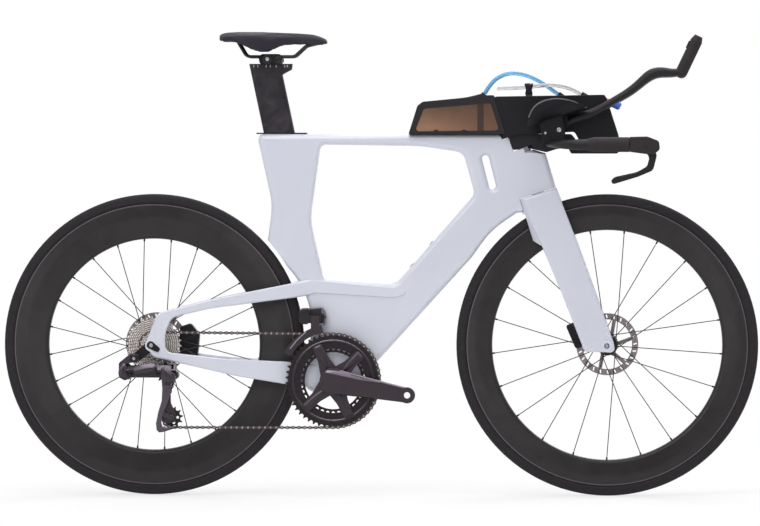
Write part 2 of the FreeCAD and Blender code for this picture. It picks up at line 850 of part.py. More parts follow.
def make_bearings():
    lower = steer_rod(BEARING_RADIUS, 0, BEARING_HEIGHT)
    upper = steer_rod(BEARING_RADIUS, UPPER_BEARING, UPPER_BEARING + BEARING_HEIGHT)
    bore = steer_rod(STEERER_RADIUS + RUN_FIT, -10, HEAD_LENGTH + 10)
    return Part.makeCompound([lower.cut(bore), upper.cut(bore)])


def make_bottom_bracket():
    inner = SPINDLE_RADIUS + RUN_FIT
    corners = [(inner, -SHELL_HALF - 2.5), (CUP_RADIUS + 3, -SHELL_HALF - 2.5, 1),
               (CUP_RADIUS + 3, -SHELL_HALF),
               (CUP_RADIUS, -SHELL_HALF), (CUP_RADIUS, -SHELL_HALF + 12), (inner, -SHELL_HALF + 12)]
    return both_sides(turned(corners, BB_X, BB_Z))


def stay_outline():
    ax, az = REAR_X, AXLE_Z
    return [
        (BB_X - 16, 490, 3), (-196, 478, 300), (-374, 443, 400), (ax + 14, az + 73, 22),
        (ax - 14, az + 1, 16),
        (ax + 3, az - 26, 22), (-327, 270, 400), (BB_X - 100, 249, 200), (BB_X - 4, 236, 3),
        (BB_X - 4, 290, 3), (-205, 301, 200), (-355, 309, 300), (ax + 32, az - 15, 16),
        (ax + 30, az + 26, 60), (ax + 46, az + 63, 26), (-374, 422, 300), (-183, 446, 200),
        (BB_X - 16, 458, 3),
    ]


def make_right_stay(frame):
    stretch = 1 / math.cos(math.radians(STAY_ANGLE))
    corners = []
    for corner in stay_outline():
        corners.append((REAR_X + (corner[0] - REAR_X) * stretch,) + corner[1:])
    half = STAY_THICK / 2
    stay = soft_plate(corners, -half, half, STAY_EDGE)
    stay.rotate(vec(REAR_X, 0, 0), vec(0, 0, 1), STAY_ANGLE)
    stay.translate(vec(0, -REAR_HUB_WIDTH / 2 - half, 0))
    pad = cross_rod(REAR_X, AXLE_Z, 13.5, -DROP_OUT, -REAR_HUB_WIDTH / 2)
    stay = stay.fuse(pad)
    stay = stay.cut(cross_rod(REAR_X, AXLE_Z, 30, -REAR_HUB_WIDTH / 2, 0))
    stay = stay.cut(cross_rod(REAR_X, AXLE_Z, AXLE_RADIUS, -120, 0))
    stay = stay.cut(frame)
    solids = sorted(stay.Solids, key=lambda solid: solid.Volume)
    return solids[-1]


def make_gasket():
    top = [(-279, TOP_TUBE_Z, 1), (-278.5, TOP_TUBE_Z + 3, 1), (-166, TOP_TUBE_Z + 3, 1),
           (-164, TOP_TUBE_Z, 1)]
    seal = plate(top, -14.5, 14.5)
    return seal.cut(post_prism(-20, 30, SLIDE_FIT))


nodes["frame_main"] = make_frame()
nodes["frame_bearings"] = Part.makeCompound(make_bearings().Solids + make_bottom_bracket().Solids)
nodes["stay_right"] = make_right_stay(nodes["frame_main"])
nodes["stay_left"] = mirrored(nodes["stay_right"])
nodes["seat_gasket"] = make_gasket()
nodes["bottle_inserts"] = make_inserts()

# Fork and steering

def make_fork():
    side = []
    for fore, up in ((44, -1), (-47, -1)):
        point = steer_point(fore, up)
        side.append((point.x, point.z))
    leg_corners = [(side[0][0], side[0][1], 7), (438, 587, 400), (493, 436, 500), (526, 345, 30),
                   (529, AXLE_Z - 15, 17), (461, AXLE_Z - 14, 12), (452, 348, 40), (410, 454, 500),
                   (364, 564, 400), (318, 655, 20), (side[1][0] + 2, side[1][1], 7)]
    half = LEG_THICK / 2
    leg = soft_plate(leg_corners, -half, half, FORK_EDGE)
    lean = math.degrees(math.atan2(FRONT_HUB_WIDTH / 2 + half - 31, 290))
    leg.rotate(vec(0, 0, AXLE_Z), vec(1, 0, 0), -lean)
    leg.translate(vec(0, -FRONT_HUB_WIDTH / 2 - half, 0))
    leg = leg.fuse(cross_rod(FRONT_X, AXLE_Z, 14, -LEG_OUT, -FRONT_HUB_WIDTH / 2))
    leg = leg.cut(cross_rod(FRONT_X, AXLE_Z, 20, -FRONT_HUB_WIDTH / 2, 0))
    crown_corners = [side[0], (438, 587), (400, 545), (364, 562), (300, 600), side[1]]
    crown = plate(crown_corners, -40, 40).common(steer_rod(CROWN_RADIUS, -140, -1))
    front_view = [(-27, 705, 2), (27, 705, 2), (31, 660, 30), (41, 560, 10), (-41, 560, 10), (-31, 660, 30)]
    face = Part.Face(rounded_wire(front_view, lambda y, z: vec(200, y, z)))
    shape = face.extrude(vec(300, 0, 0))
    crown = crown.common(shape)
    leg = leg.common(steer_rod(600, -700, -1))
    fork = crown.fuse([leg, mirrored(leg)])
    swing = steer_rod(CROWN_RADIUS, -140, 0).fuse(fore_half(-700, 0))
    fork = fork.common(swing.fuse(Part.makeBox(400, 300, 610, vec(300, -150, 0))))
    gap = TYRE_WIDTH / 2 + TYRE_GAP
    fork = fork.cut(cross_rod(FRONT_X, AXLE_Z, TYRE_RADIUS + TYRE_GAP, -gap, gap))
    fork = fork.cut(cross_rod(FRONT_X, AXLE_Z, AXLE_RADIUS, -100, 100))
    return fork.fuse(steer_rod(STEERER_RADIUS, -12, HEAD_LENGTH + 26))


def rotor_room(x, y):
    half = ROTOR_THICK / 2 + ROTOR_GAP
    return cross_rod(x, AXLE_Z, ROTOR_RADIUS + 2, y - half, y + half)


def make_front_caliper(fork):
    corners = [(417, 381, 5), (440, 391, 5), (463, 338, 5), (440, 327, 8)]
    body = soft_plate(corners, FRONT_ROTOR_Y - 13, FRONT_ROTOR_Y + 16, 3)
    body = body.cut(fork).cut(rotor_room(FRONT_X, FRONT_ROTOR_Y))
    return sorted(body.Solids, key=lambda solid: solid.Volume)[-1]


def make_rear_caliper(stay):
    corners = [(-459, 314, 4), (-417, 308, 4), (-412, 360, 10), (-432, 385, 8), (-457, 377, 8)]
    body = soft_plate(corners, REAR_ROTOR_Y - 13, REAR_ROTOR_Y + 15, 3)
    body = body.cut(stay).cut(rotor_room(REAR_X, REAR_ROTOR_Y))
    return sorted(body.Solids, key=lambda solid: solid.Volume)[-1]


nodes["fork"] = make_fork()
nodes["front_caliper"] = make_front_caliper(nodes["fork"])
nodes["rear_caliper"] = make_rear_caliper(nodes["stay_left"])

# Crankset

SPIDER_INNER = CHAIN_Y - TOOTH_THICK / 2
SPIDER_OUTER = SPIDER_INNER - 6.0
SMALL_RING_Y = CHAIN_Y + RING_STEP


def at_crank(shape, extra=0):
    shape.rotate(ORIGIN, ALONG_Y, extra - CRANK_ANGLE)
    shape.translate(vec(BB_X, 0, BB_Z))
    return shape


def spun(shape, degrees):
    copy = shape.copy()
    copy.rotate(ORIGIN, ALONG_Y, degrees)
    return copy


def slab_wire(x, half_up, inner, outer, radius):
    corners = [(inner, -half_up, radius), (outer, -half_up, radius), (outer, half_up, radius),
               (inner, half_up, radius)]
    return rounded_wire(corners, lambda y, z: vec(x, y, z))


def crank_arm(inner):
    hub = slab_wire(0, ARM_ROOT, -inner, -inner - 13, 5)
    waist = slab_wire(CRANK_LENGTH * 0.5, ARM_WAIST, -inner - 3, -inner - 15, 5)
    tip = slab_wire(CRANK_LENGTH, ARM_TIP, -inner - 5, -inner - 17, 5)
    arm = Part.makeLoft([hub, waist, tip], True, True)
    arm = arm.fuse([cross_rod(0, 0, ARM_ROOT + 0.5, -inner - 14, -inner),
                    cross_rod(CRANK_LENGTH, 0, ARM_TIP + 1, -inner - 17.5, -inner - 4.5)])
    return arm.cut(cross_rod(CRANK_LENGTH, 0, PEDAL_HOLE, -inner - 30, -inner + 10))


def make_right_crank():
    inner = -SPIDER_OUTER
    blade = plate([(10, -24, 4), (52, -13, 30), (BLADE_REACH, -11, 5), (BLADE_REACH, 11, 5), (52, 13, 30),
                   (10, 24, 4)], SPIDER_OUTER, SPIDER_INNER)
    boss = cross_rod(BOLT_CIRCLE, 0, BOLT_RADIUS, SPIDER_INNER, SMALL_RING_Y + TOOTH_THICK / 2)
    spider = cross_rod(0, 0, 30, SPIDER_OUTER, SPIDER_INNER)
    pieces = [cross_rod(0, 0, 16, SPIDER_INNER, -SHELL_HALF - 2.5 - SKIN)]
    for turn in ARM_TURNS:
        pieces.append(spun(blade, turn))
        pieces.append(spun(boss, turn))
    spider = spider.fuse(pieces).cut(cross_rod(0, 0, SPINDLE_RADIUS, SPIDER_OUTER - 1, 0))
    spindle = cross_rod(0, 0, SPINDLE_RADIUS, SPIDER_OUTER, SHELL_HALF + 22)
    return Part.makeCompound([at_crank(crank_arm(inner)), at_crank(spider), at_crank(spindle)])


def make_left_crank():
    inner = SHELL_HALF + 14
    arm = mirrored(crank_arm(inner))
    arm = arm.fuse(cross_rod(0, 0, 17, SHELL_HALF + 2.5 + SKIN, inner))
    arm = arm.cut(cross_rod(0, 0, SPINDLE_RADIUS, 0, SHELL_HALF + 22))
    return at_crank(arm, 180)


def make_ring(teeth, y, bore, phase, tab_inner):
    disc = sprocket(teeth, BB_X, BB_Z, y, phase, bore)
    tab = plate([(tab_inner, -11, 4), (bore + 2, -12), (bore + 2, 12), (tab_inner, 11, 4)],
                y - TOOTH_THICK / 2, y + TOOTH_THICK / 2)
    hole = cross_rod(BOLT_CIRCLE, 0, BOLT_RADIUS, y - 5, y + 5)
    for turn in ARM_TURNS:
        disc = disc.fuse(at_crank(spun(tab, turn)))
    for turn in ARM_TURNS:
        disc = disc.cut(at_crank(spun(hole, turn)))
    return disc.removeSplitter()


nodes["crank_right"] = make_right_crank()
nodes["crank_left"] = make_left_crank()
nodes["big_ring"] = make_ring(BIG_TEETH, CHAIN_Y, BIG_RING_BORE, RUN.phase(0), BOLT_CIRCLE - 8)
nodes["small_ring"] = make_ring(SMALL_TEETH, SMALL_RING_Y, SMALL_RING_BORE, 0.0, BOLT_CIRCLE - 8)

# Cassette and chain


def make_cassette():
    pieces = []
    for i in range(len(COGS)):
        y = CHAIN_Y + (i - USED_COG) * COG_PITCH
        phase = RUN.phase(1) if i == USED_COG else 0.1 * i
        pieces.append(sprocket(COGS[i], REAR_X, AXLE_Z, y, phase, FREEHUB_RADIUS))
    outer = -REAR_HUB_WIDTH / 2 + 4.7
    inner = -REAR_FLANGE_Y - 5 - SKIN
    pieces.append(ring(REAR_X, AXLE_Z, FREEHUB_RADIUS, AXLE_RADIUS + RUN_FIT, outer, inner))
    return Part.makeCompound(pieces)


nodes["cassette"] = make_cassette()
nodes["chain"] = make_chain()

# Rear derailleur: a slanted parallelogram carries the sprung cage

MOUNT_X = REAR_X - 36.5
MOUNT_Z = AXLE_Z - 29.0
PIN_START = vec(REAR_X - 52.5, -88.0, AXLE_Z - 53.0)
PIN_END = PIN_START + vec(LINK_LENGTH, 0, 0)
CAGE_OUTLINE = [(-11, -9, 8), (-11, 10, 8), (30, 13, 60), (70, 13, 30), (CAGE_LENGTH, 23, 14),
                (CAGE_LENGTH + 12, 16, 8), (CAGE_LENGTH + 12, -7, 8), (CAGE_LENGTH - 8, -10, 8),
                (70, -1, 20),
                (30, -6, 60)]
CAGE_OUTER = CHAIN_Y - CAGE_GAP
CAGE_INNER = CHAIN_Y + CAGE_GAP


def slanted(shape, origin):
    turn = FreeCAD.Rotation(vec(1, 0, 0), -math.degrees(SLANT))
    shape.Placement = FreeCAD.Placement(origin, turn)
    return shape


def make_link(origin):
    long = LINK_LENGTH
    bar = plan_plate([(-LINK_HALF, -LINK_HALF, LINK_HALF), (long + LINK_HALF, -LINK_HALF, LINK_HALF),
                      (long + LINK_HALF, LINK_HALF, LINK_HALF), (-LINK_HALF, LINK_HALF, LINK_HALF)],
                     -LINK_TALL, LINK_TALL)
    for x in (0, long):
        bar = bar.cut(rod(vec(x, 0, -20), vec(0, 0, 1), PIN + RUN_FIT, 40))
    return slanted(bar, origin)


def clevis(sign):
    low, high = LINK_TALL + SKIN, LINK_TALL + 3.5
    ear = plan_plate([(sign * -6, -7, 5), (sign * 14, -7, 3), (sign * 14, LINK_STEP + 7, 3),
                      (sign * -6, LINK_STEP + 7, 5)], low, high)
    back = plan_plate([(sign * 7, -7, 2), (sign * 14, -7, 3), (sign * 14, LINK_STEP + 7, 3),
                       (sign * 7, LINK_STEP + 7, 2)], -high, high)
    under = ear.copy()
    under.translate(vec(0, 0, -low - high))
    pieces = [under, back]
    for y in (0, LINK_STEP):
        pieces.append(rod(vec(0, y, -high), vec(0, 0, 1), PIN, 2 * high))
    return ear.fuse(pieces)


def bar_between(x0, z0, half0, x1, z1, half1, low, high):
    away = vec(x1 - x0, 0, z1 - z0)
    away.normalize()
    side = vec(-away.z, 0, away.x)
    corners = []
    for x, z, half, sign in ((x0, z0, half0, 1), (x0, z0, half0, -1), (x1, z1, half1, -1),
                             (x1, z1, half1, 1)):
        end = vec(x, 0, z) + side * (half * sign) + away * (-half if x == x0 and z == z0 else half)
        corners.append((end.x, end.z, half * 0.98))
    return plate(corners, low, high)


def make_derailleur_body():
    block = slanted(clevis(-1), PIN_START)
    boss = cross_rod(MOUNT_X, MOUNT_Z, 9.5, -90, HANGER_OUTER)
    px, pz = PIN_START.x, PIN_START.z
    arm = plate([(MOUNT_X + 7, MOUNT_Z + 8, 6), (MOUNT_X - 9, MOUNT_Z + 11, 8), (px - 19, pz + 14, 8),
                 (px - 19, pz - 16, 8), (px - 7, pz - 16, 3), (px - 7, pz + 11, 5),
                 (MOUNT_X - 4, MOUNT_Z - 9, 4)],
                -97, HANGER_OUTER - 1)
    return block.fuse([boss, arm])


def make_knuckle():
    block = slanted(clevis(1), PIN_END)
    outer = CAGE_OUTER - CAGE_PLATE - SKIN
    carrier = bar_between(GUIDE_X, GUIDE_Z, 11, PIN_END.x + 10, PIN_END.z - 14, 8, outer - 6, outer)
    carrier = carrier.cut(cross_rod(GUIDE_X, GUIDE_Z, 6 + RUN_FIT, -100, 0))
    neck = plate([(PIN_END.x + 7.2, PIN_END.z - 21, 3), (PIN_END.x + 17, PIN_END.z - 21, 3),
                  (PIN_END.x + 17, PIN_END.z - 6, 3), (PIN_END.x + 7.2, PIN_END.z - 6, 3)], -82, outer)
    return block.fuse([carrier, neck])


def cage_plate(low, high):
    along = vec(TENSION_X - GUIDE_X, 0, TENSION_Z - GUIDE_Z)
    along.normalize()
    back = vec(along.z, 0, -along.x)
    corners = []
    for run, out, radius in CAGE_OUTLINE:
        point = vec(GUIDE_X, 0, GUIDE_Z) + along * run + back * out
        corners.append((point.x, point.z, radius))
    return plate(corners, low, high)


def make_cage():
    outer = cage_plate(CAGE_OUTER - CAGE_PLATE, CAGE_OUTER)
    inner = cage_plate(CAGE_INNER, CAGE_INNER + CAGE_PLATE)
    pieces = [inner, cross_rod(GUIDE_X, GUIDE_Z, 6, CAGE_OUTER - CAGE_PLATE - SKIN - 6, CAGE_OUTER)]
    for x, z in ((GUIDE_X, GUIDE_Z), (TENSION_X, TENSION_Z)):
        pieces.append(cross_rod(x, z, PIN, CAGE_OUTER, CAGE_INNER))
    return outer.fuse(pieces)


def make_pulley(x, z, phase):
    wheel = sprocket(PULLEY_TEETH, x, z, CHAIN_Y, phase, 7)
    hub = ring(x, z, 7, PIN + RUN_FIT, CHAIN_Y - CAGE_GAP + SKIN, CHAIN_Y + CAGE_GAP - SKIN)
    wheel = wheel.fuse(hub)
    for i in range(5):
        angle = 2 * math.pi * i / 5
        hole = polar(x, z, 12.5, angle)
        wheel = wheel.cut(cross_rod(hole.x, hole.z, 3, CHAIN_Y - 5, CHAIN_Y + 5))
    return wheel


HANGER_OUTER = -REAR_HUB_WIDTH / 2 + 0.1
HANGER_INNER = HANGER_OUTER + 4.2


def make_hanger(stay):
    arm = bar_between(REAR_X, AXLE_Z, 13, MOUNT_X, MOUNT_Z, 9.5, HANGER_OUTER, HANGER_INNER)
    arm = arm.cut(cross_rod(REAR_X, AXLE_Z, AXLE_RADIUS, -100, 0))
    cap = bar_between(REAR_X, AXLE_Z, 9.8, REAR_X + 14, AXLE_Z - 9, 5, -DROP_OUT - 1.5, -DROP_OUT + 4)
    cap = cap.cut(cross_rod(REAR_X, AXLE_Z, AXLE_RADIUS, -100, 0)).cut(stay)
    cap = sorted(cap.Solids, key=lambda solid: solid.Volume)[-1]
    return Part.makeCompound([arm, cap])


nodes["hanger"] = make_hanger(nodes["stay_right"])
nodes["derailleur_body"] = make_derailleur_body()
nodes["derailleur_outer_link"] = make_link(PIN_START)
INNER_STEP = vec(0, math.cos(SLANT), -math.sin(SLANT)) * LINK_STEP
nodes["derailleur_inner_link"] = make_link(PIN_START + INNER_STEP)
nodes["derailleur_knuckle"] = make_knuckle()
nodes["derailleur_cage"] = make_cage()
nodes["guide_pulley"] = make_pulley(GUIDE_X, GUIDE_Z, RUN.phase(2))
nodes["tension_pulley"] = make_pulley(TENSION_X, TENSION_Z, RUN.phase(3))

# Front derailleur

SHIFTER_PIN_Z = BB_Z + 141.0
SHIFTER_X = BB_X - 40.0


def make_front_shifter(frame):
    body = soft_plate([(SHIFTER_X - 28, SHIFTER_PIN_Z + 20, 10), (SHIFTER_X + 20, SHIFTER_PIN_Z + 24, 10),
                       (SHIFTER_X + 22, SHIFTER_PIN_Z - 12, 8), (SHIFTER_X - 28, SHIFTER_PIN_Z - 12, 8)],
                      SHIFTER_PIN_Y + 9, -FRAME_HALF + 6, 3)
    body = body.cut(frame)
    body = sorted(body.Solids, key=lambda solid: solid.Volume)[-1]
    pieces = [rod(vec(SHIFTER_X - 14, SHIFTER_PIN_Y, SHIFTER_PIN_Z), vec(1, 0, 0), 2, 28)]
    for x in (SHIFTER_X - 14, SHIFTER_X + 10):
        lug = Part.makeBox(4, 15, 14, vec(x, SHIFTER_PIN_Y - 4, SHIFTER_PIN_Z - 7))
        pieces.append(lug)
    return body.fuse(pieces)


def ring_sector(outer, inner, first, last, low, high):
    reach = 2 * outer
    corners = [(BB_X, BB_Z)]
    for angle in (first, (first + last) / 2, last):
        point = polar(BB_X, BB_Z, reach, math.radians(angle))
        corners.append((point.x, point.z))
    return ring(BB_X, BB_Z, outer, inner, low, high).common(plate(corners, low - 1, high + 1))


def make_shifter_cage():
    inside = pitch_radius(BIG_TEETH) + TOOTH_HEIGHT + 3
    outside = inside + SHIFTER_PLATE
    outer = ring_sector(outside, inside, 102, 150, CHAIN_Y - 5.2, CHAIN_Y - 3.8)
    inner = ring_sector(outside, inside, 102, 150, CHAIN_Y + 3.8, CHAIN_Y + 5.2)
    bridge = ring_sector(outside, outside - 2.5, 102, 115, CHAIN_Y - 5.2, CHAIN_Y + 5.2)
    tail = ring_sector(outside, outside - 2.5, 145, 150, CHAIN_Y - 5.2, CHAIN_Y + 5.2)
    arm = Part.makeBox(20 - 2 * SKIN, 10, 32,
                       vec(SHIFTER_X - 10 + SKIN, SHIFTER_PIN_Y - 5, SHIFTER_PIN_Z - 26.5))
    arm = arm.cut(rod(vec(SHIFTER_X - 30, SHIFTER_PIN_Y, SHIFTER_PIN_Z), vec(1, 0, 0), 2 + RUN_FIT, 60))
    return outer.fuse([inner, bridge, tail, arm])


nodes["front_shifter"] = make_front_shifter(nodes["frame_main"])
nodes["shifter_cage"] = make_shifter_cage()

# Seat

POST_TOP = (SEAT_TOP_Z - 817.5) / math.sin(math.radians(POST_ANGLE))
CLAMP_TOP = SEAT_TOP_Z + 22.0
RAIL_Z = SEAT_TOP_Z + 16.0


def make_post():
    post = post_prism(-POST_INSERT, POST_TOP + 20, 0)
    head = soft_plate([(-297, SEAT_TOP_Z + 20, 2), (-196, SEAT_TOP_Z + 20, 3), (-199, SEAT_TOP_Z - 13, 6),
                       (-222, SEAT_TOP_Z - 25, 16), (-228, SEAT_TOP_Z - 50, 4), (-278, SEAT_TOP_Z - 50, 4)],
                      -POST_THICK / 2, POST_THICK / 2, 3)
    post = post.fuse(head)
    return post.cut(Part.makeBox(300, 200, 100, vec(-400, -100, SEAT_TOP_Z)))


SADDLE = [(-365, 38, 1036, 1025, 1027), (-346, 61, 1040, 1019, 1024), (-305, 67, 1041.5, 1006, 1019),
          (-264, 55, 1041.5, 994, 1017), (-225, 40, 1040.5, 1008, 1017), (-170, 30, 1038.5, 1012, 1018),
          (-132, 26, 1033, 1010, 1016), (-117, 20, 1026, 1012, 1016)]


def saddle_section(x, half, top, edge, under):
    corners = [(-half, edge, 1.5), (-half, top - 9, 7), (-half * 0.55, top, 12), (0, top - 4, 14),
               (half * 0.55, top, 12), (half, top - 9, 7), (half, edge, 1.5), (half - 4, edge, 1.5),
               (half - 8, under, 2.5), (8 - half, under, 2.5), (4 - half, edge, 1.5)]
    return rounded_wire(corners, lambda y, z: vec(x, y, z))


def make_saddle():
    return loft([saddle_section(*station) for station in SADDLE])


def make_rails(saddle):
    points = [vec(-319, RAIL_HALF, 1019), vec(-300, RAIL_HALF, RAIL_Z), vec(-192, RAIL_HALF, RAIL_Z),
              vec(-166, RAIL_HALF, 1011), vec(-140, RAIL_HALF - 5, 1017)]
    path = bent_path(points, RAIL_BEND)
    circle = Part.Wire([Part.Circle(points[0], points[1] - points[0], RAIL_RADIUS).toShape()])
    rail = path.makePipeShell([circle], True, False).cut(saddle)
    rail = sorted(rail.Solids, key=lambda solid: solid.Volume)[-1]
    return both_sides(rail)


def make_clamp():
    body = soft_plate([(-270, SEAT_TOP_Z, 2.6), (-222, SEAT_TOP_Z, 2.6), (-219, SEAT_TOP_Z + 13, 5),
                       (-226, CLAMP_TOP, 5), (-266, CLAMP_TOP, 5), (-273, SEAT_TOP_Z + 13, 5)],
                      -RAIL_HALF - 7, RAIL_HALF + 7, 2.5)
    for y in (-RAIL_HALF, RAIL_HALF):
        body = body.cut(rod(vec(-400, y, RAIL_Z), vec(1, 0, 0), RAIL_RADIUS + RUN_FIT, 400))
    return body


nodes["seat_post"] = make_post()
nodes["saddle_clamp"] = make_clamp()
nodes["saddle_cover"] = make_saddle()
nodes["saddle_rails"] = make_rails(nodes["saddle_cover"])


# Base bar, hoods and levers

SLOT_HALF = LEVER_HALF + 0.7
STEM_TOP = TOP_TUBE_Z


def make_stem():
    corners = [(284, STEM_TOP, 2), (430, STEM_TOP, 8), (442, 798, 8), (424, 783, 12), (396, 779, 12),
               (374, 772, 4), (327, 782.5, 6), (300, 776.5, 4)]
    prism = plate(corners, -STEM_HALF, STEM_HALF)
    sector = turn_sector(90 - STEER_LIMIT - SECTOR_GAP)
    stem = prism.common(stem_room(0, sector).fuse(fore_half(-100, 300, 46)))
    under_box = steer_rod(STEM_TURN + 5, BOX_SEAT, BOX_SEAT + 50).cut(fore_half(0, 300))
    stem = stem.cut(under_box)
    return stem.cut(steer_rod(STEERER_RADIUS, -20, HEAD_LENGTH + 26))


def make_wing():
    stations = [(384, 4, BAR_Z + 3, 18, 7), (386, 60, BAR_Z + 1, 17.5, 6.5),
                (388, BAR_HALF - 95, BAR_Z, 16, 6),
                (397, BAR_HALF - 55, BAR_Z, 13.5, 7), (414, BAR_HALF - 24, BAR_Z, 12, 9.5),
                (440, BAR_HALF - 5, BAR_Z, 12, 11.5),
                (468, BAR_HALF, BAR_Z, BAR_RADIUS, BAR_RADIUS)]
    path = eased(stations, 3)
    path.append((HOOD_X + 12, BAR_HALF, BAR_Z, BAR_RADIUS, BAR_RADIUS))
    wires = []
    for i in range(len(path)):
        x, y, z, half_across, half_up = path[i]
        before = path[max(i - 1, 0)]
        after = path[min(i + 1, len(path) - 1)]
        along = vec(after[0] - before[0], after[1] - before[1], 0)
        across = vec(along.y, -along.x, 0)
        wires.append(oval(vec(x, y, z), along, across, half_up, half_across))
    return Part.makeLoft(wires, True, True)


def make_base_bar():
    wing = make_wing()
    return make_stem().fuse(wing).fuse(mirrored(wing))


def make_tape(bar):
    flare = Part.makeCone(13.2, TAPE_RADIUS, 16, vec(468, BAR_HALF, BAR_Z), vec(1, 0, 0))
    sleeve = rod(vec(484, BAR_HALF, BAR_Z), vec(1, 0, 0), TAPE_RADIUS, HOOD_X - 484)
    return both_sides(flare.fuse(sleeve).cut(bar))


def make_hoods(bar):
    corners = [(HOOD_X, 806, 4), (600, 807, 16), (626, 797, 9), (628, 778, 8), (613, 766, 6), (590, 769, 10),
               (HOOD_X, 773, 4)]
    hood = soft_plate(corners, BAR_HALF - 15, BAR_HALF + 15, 3.5)
    slot = Part.makeBox(60, 2 * SLOT_HALF, 45, vec(578, BAR_HALF - SLOT_HALF, 750))
    hood = hood.cut(slot).cut(bar)
    hood = sorted(hood.Solids, key=lambda solid: solid.Volume)[-1]
    hood = hood.fuse(cross_rod(LEVER_X, LEVER_Z, LEVER_PIN, BAR_HALF - 14, BAR_HALF + 14))
    return both_sides(hood)


def make_lever():
    corners = [(589, 791, 7), (603, 791, 7), (622, 768, 14), (613, 732, 14), (580, 718, 60), (534, 704, 8),
               (524, 701, 6), (519, 710, 6), (528, 716, 8), (578, 727, 60), (600, 740, 10), (606, 762, 14),
               (589, 777, 7)]
    blade = soft_plate(corners, BAR_HALF - LEVER_HALF, BAR_HALF + LEVER_HALF, 1.6)
    return blade.cut(cross_rod(LEVER_X, LEVER_Z, LEVER_PIN + RUN_FIT, 0, 2 * BAR_HALF))


nodes["base_bar"] = make_base_bar()
nodes["bar_grips"] = make_tape(nodes["base_bar"])
nodes["brake_hoods"] = make_hoods(nodes["base_bar"])
nodes["lever_left"] = make_lever()
nodes["lever_right"] = mirrored(nodes["lever_left"])

# Aero extensions with grips and shift buttons

GRIP_FOOT = vec(677, EXTENSION_Y - 7, 952)
GRIP_UP = vec(math.cos(GRIP_ANGLE), 0, math.sin(GRIP_ANGLE))
GRIP_BACK = vec(-math.sin(GRIP_ANGLE), 0, math.cos(GRIP_ANGLE))


def make_extension():
    stations = [(398, 838, 8.5, 10), (440, 848, 9.5, 11), (471, 858, 10, 11), (500, 872, 9, 11),
                (521, 884.5, 8.5, 11), (562, 909, 9.5, 11), (588, 930, 10.5, 11.5), (614, 948, 12, 12),
                (637, 951, 11, 12), (660, 950, 9, 11), (680, 953, 9.5, 10)]
    wires = []
    last = len(stations) - 1
    for i in range(len(stations)):
        x, z, half_up, half_across = stations[i]
        before = stations[max(i - 1, 0)]
        after = stations[min(i + 1, last)]
        along = vec(after[0] - before[0], 0, after[1] - before[1])
        y = EXTENSION_Y - 7 * (x - 398) / (680 - 398)
        wires.append(oval(vec(x, y, z), along, vec(0, -1, 0), half_up, half_across))
    return loft(wires)


def button_block(grow, low, high):
    middle = GRIP_FOOT + GRIP_UP * (GRIP_LENGTH - 14)
    long = BUTTON_LONG + 2 * grow
    wide = BUTTON_WIDE + 2 * grow
    block = Part.makeBox(long, wide, high - low, vec(-long / 2, -wide / 2, low))
    turn = FreeCAD.Rotation(GRIP_UP, ALONG_Y * -1, GRIP_BACK, "XZY")
    block.Placement = FreeCAD.Placement(middle, turn)
    return block


def make_grip(extension):
    grip = rod(GRIP_FOOT, GRIP_UP, GRIP_RADIUS, GRIP_LENGTH)
    ball = Part.makeSphere(GRIP_RADIUS, GRIP_FOOT)
    tip = Part.makeCone(GRIP_RADIUS, 9, 12, GRIP_FOOT + GRIP_UP * GRIP_LENGTH, GRIP_UP)
    grip = grip.fuse([ball, tip])
    grip = grip.cut(button_block(SKIN, GRIP_RADIUS - BUTTON_DEEP, GRIP_RADIUS + 5))
    return grip.cut(extension)


def make_button():
    return button_block(0, GRIP_RADIUS - BUTTON_DEEP + 1.6, GRIP_RADIUS + BUTTON_PROUD)


EXTENSION = make_extension()
nodes["extensions"] = both_sides(EXTENSION)
nodes["extension_grips"] = both_sides(make_grip(EXTENSION))
nodes["button_left"] = make_button()
nodes["button_right"] = mirrored(nodes["button_left"])

# Arm rests

CUP_AXIS = vec(math.cos(CUP_TILT), 0, math.sin(CUP_TILT))
CUP_UP = vec(-math.sin(CUP_TILT), 0, math.cos(CUP_TILT))
CUP_RIM = [(332, 820, 3), (337, 862, 30), (352, 880, 30), (372, 890, 40), (398, 894, 60), (427, 890, 60),
           (451, 882, 40), (465, 873, 5), (462, 850, 10)]


def cup_shell(outer, inner, inset):
    centre = vec(CUP_X, ARM_Y, CUP_Z) + CUP_UP * CUP_TUBE
    start = centre - CUP_AXIS * 120
    tube = rod(start, CUP_AXIS, outer, 240).cut(rod(start, CUP_AXIS, inner, 240))
    corners = []
    for corner in CUP_RIM:
        x = CUP_X + (corner[0] - CUP_X) * (1 - inset / 60)
        corners.append((x, corner[1] - inset, corner[2]))
    return tube.common(plate(corners, ARM_Y - CUP_TUBE - 5, ARM_Y + CUP_TUBE + 5))


def make_bracket(bar, extension):
    column = [(361, 780, 3), (419, 780, 3), (414, 810, 3), (416, 824, 4), (410, 858, 6), (366, 858, 6),
              (360, 834, 4), (366, 810, 3)]
    post = soft_plate(column, ARM_Y - 14, ARM_Y + 12, 2)
    clamp = soft_plate([(399, 822, 6), (424, 826, 6), (420, 857, 5), (396, 853, 5)], EXTENSION_Y - 15,
                       ARM_Y - 12, 2)
    body = post.fuse(clamp)
    body = body.cut(cross_rod(405, 822, 4.4, 0, 2 * ARM_Y))
    body = body.cut(rod(vec(373, ARM_Y + 9, 815), ALONG_Y, 3, 20))
    body = body.cut([bar, extension])
    room = rod(vec(CUP_X, ARM_Y, CUP_Z) + CUP_UP * CUP_TUBE - CUP_AXIS * 120, CUP_AXIS, CUP_TUBE, 240)
    body = body.cut(room)
    return sorted(body.Solids, key=lambda solid: solid.Volume)[-1]


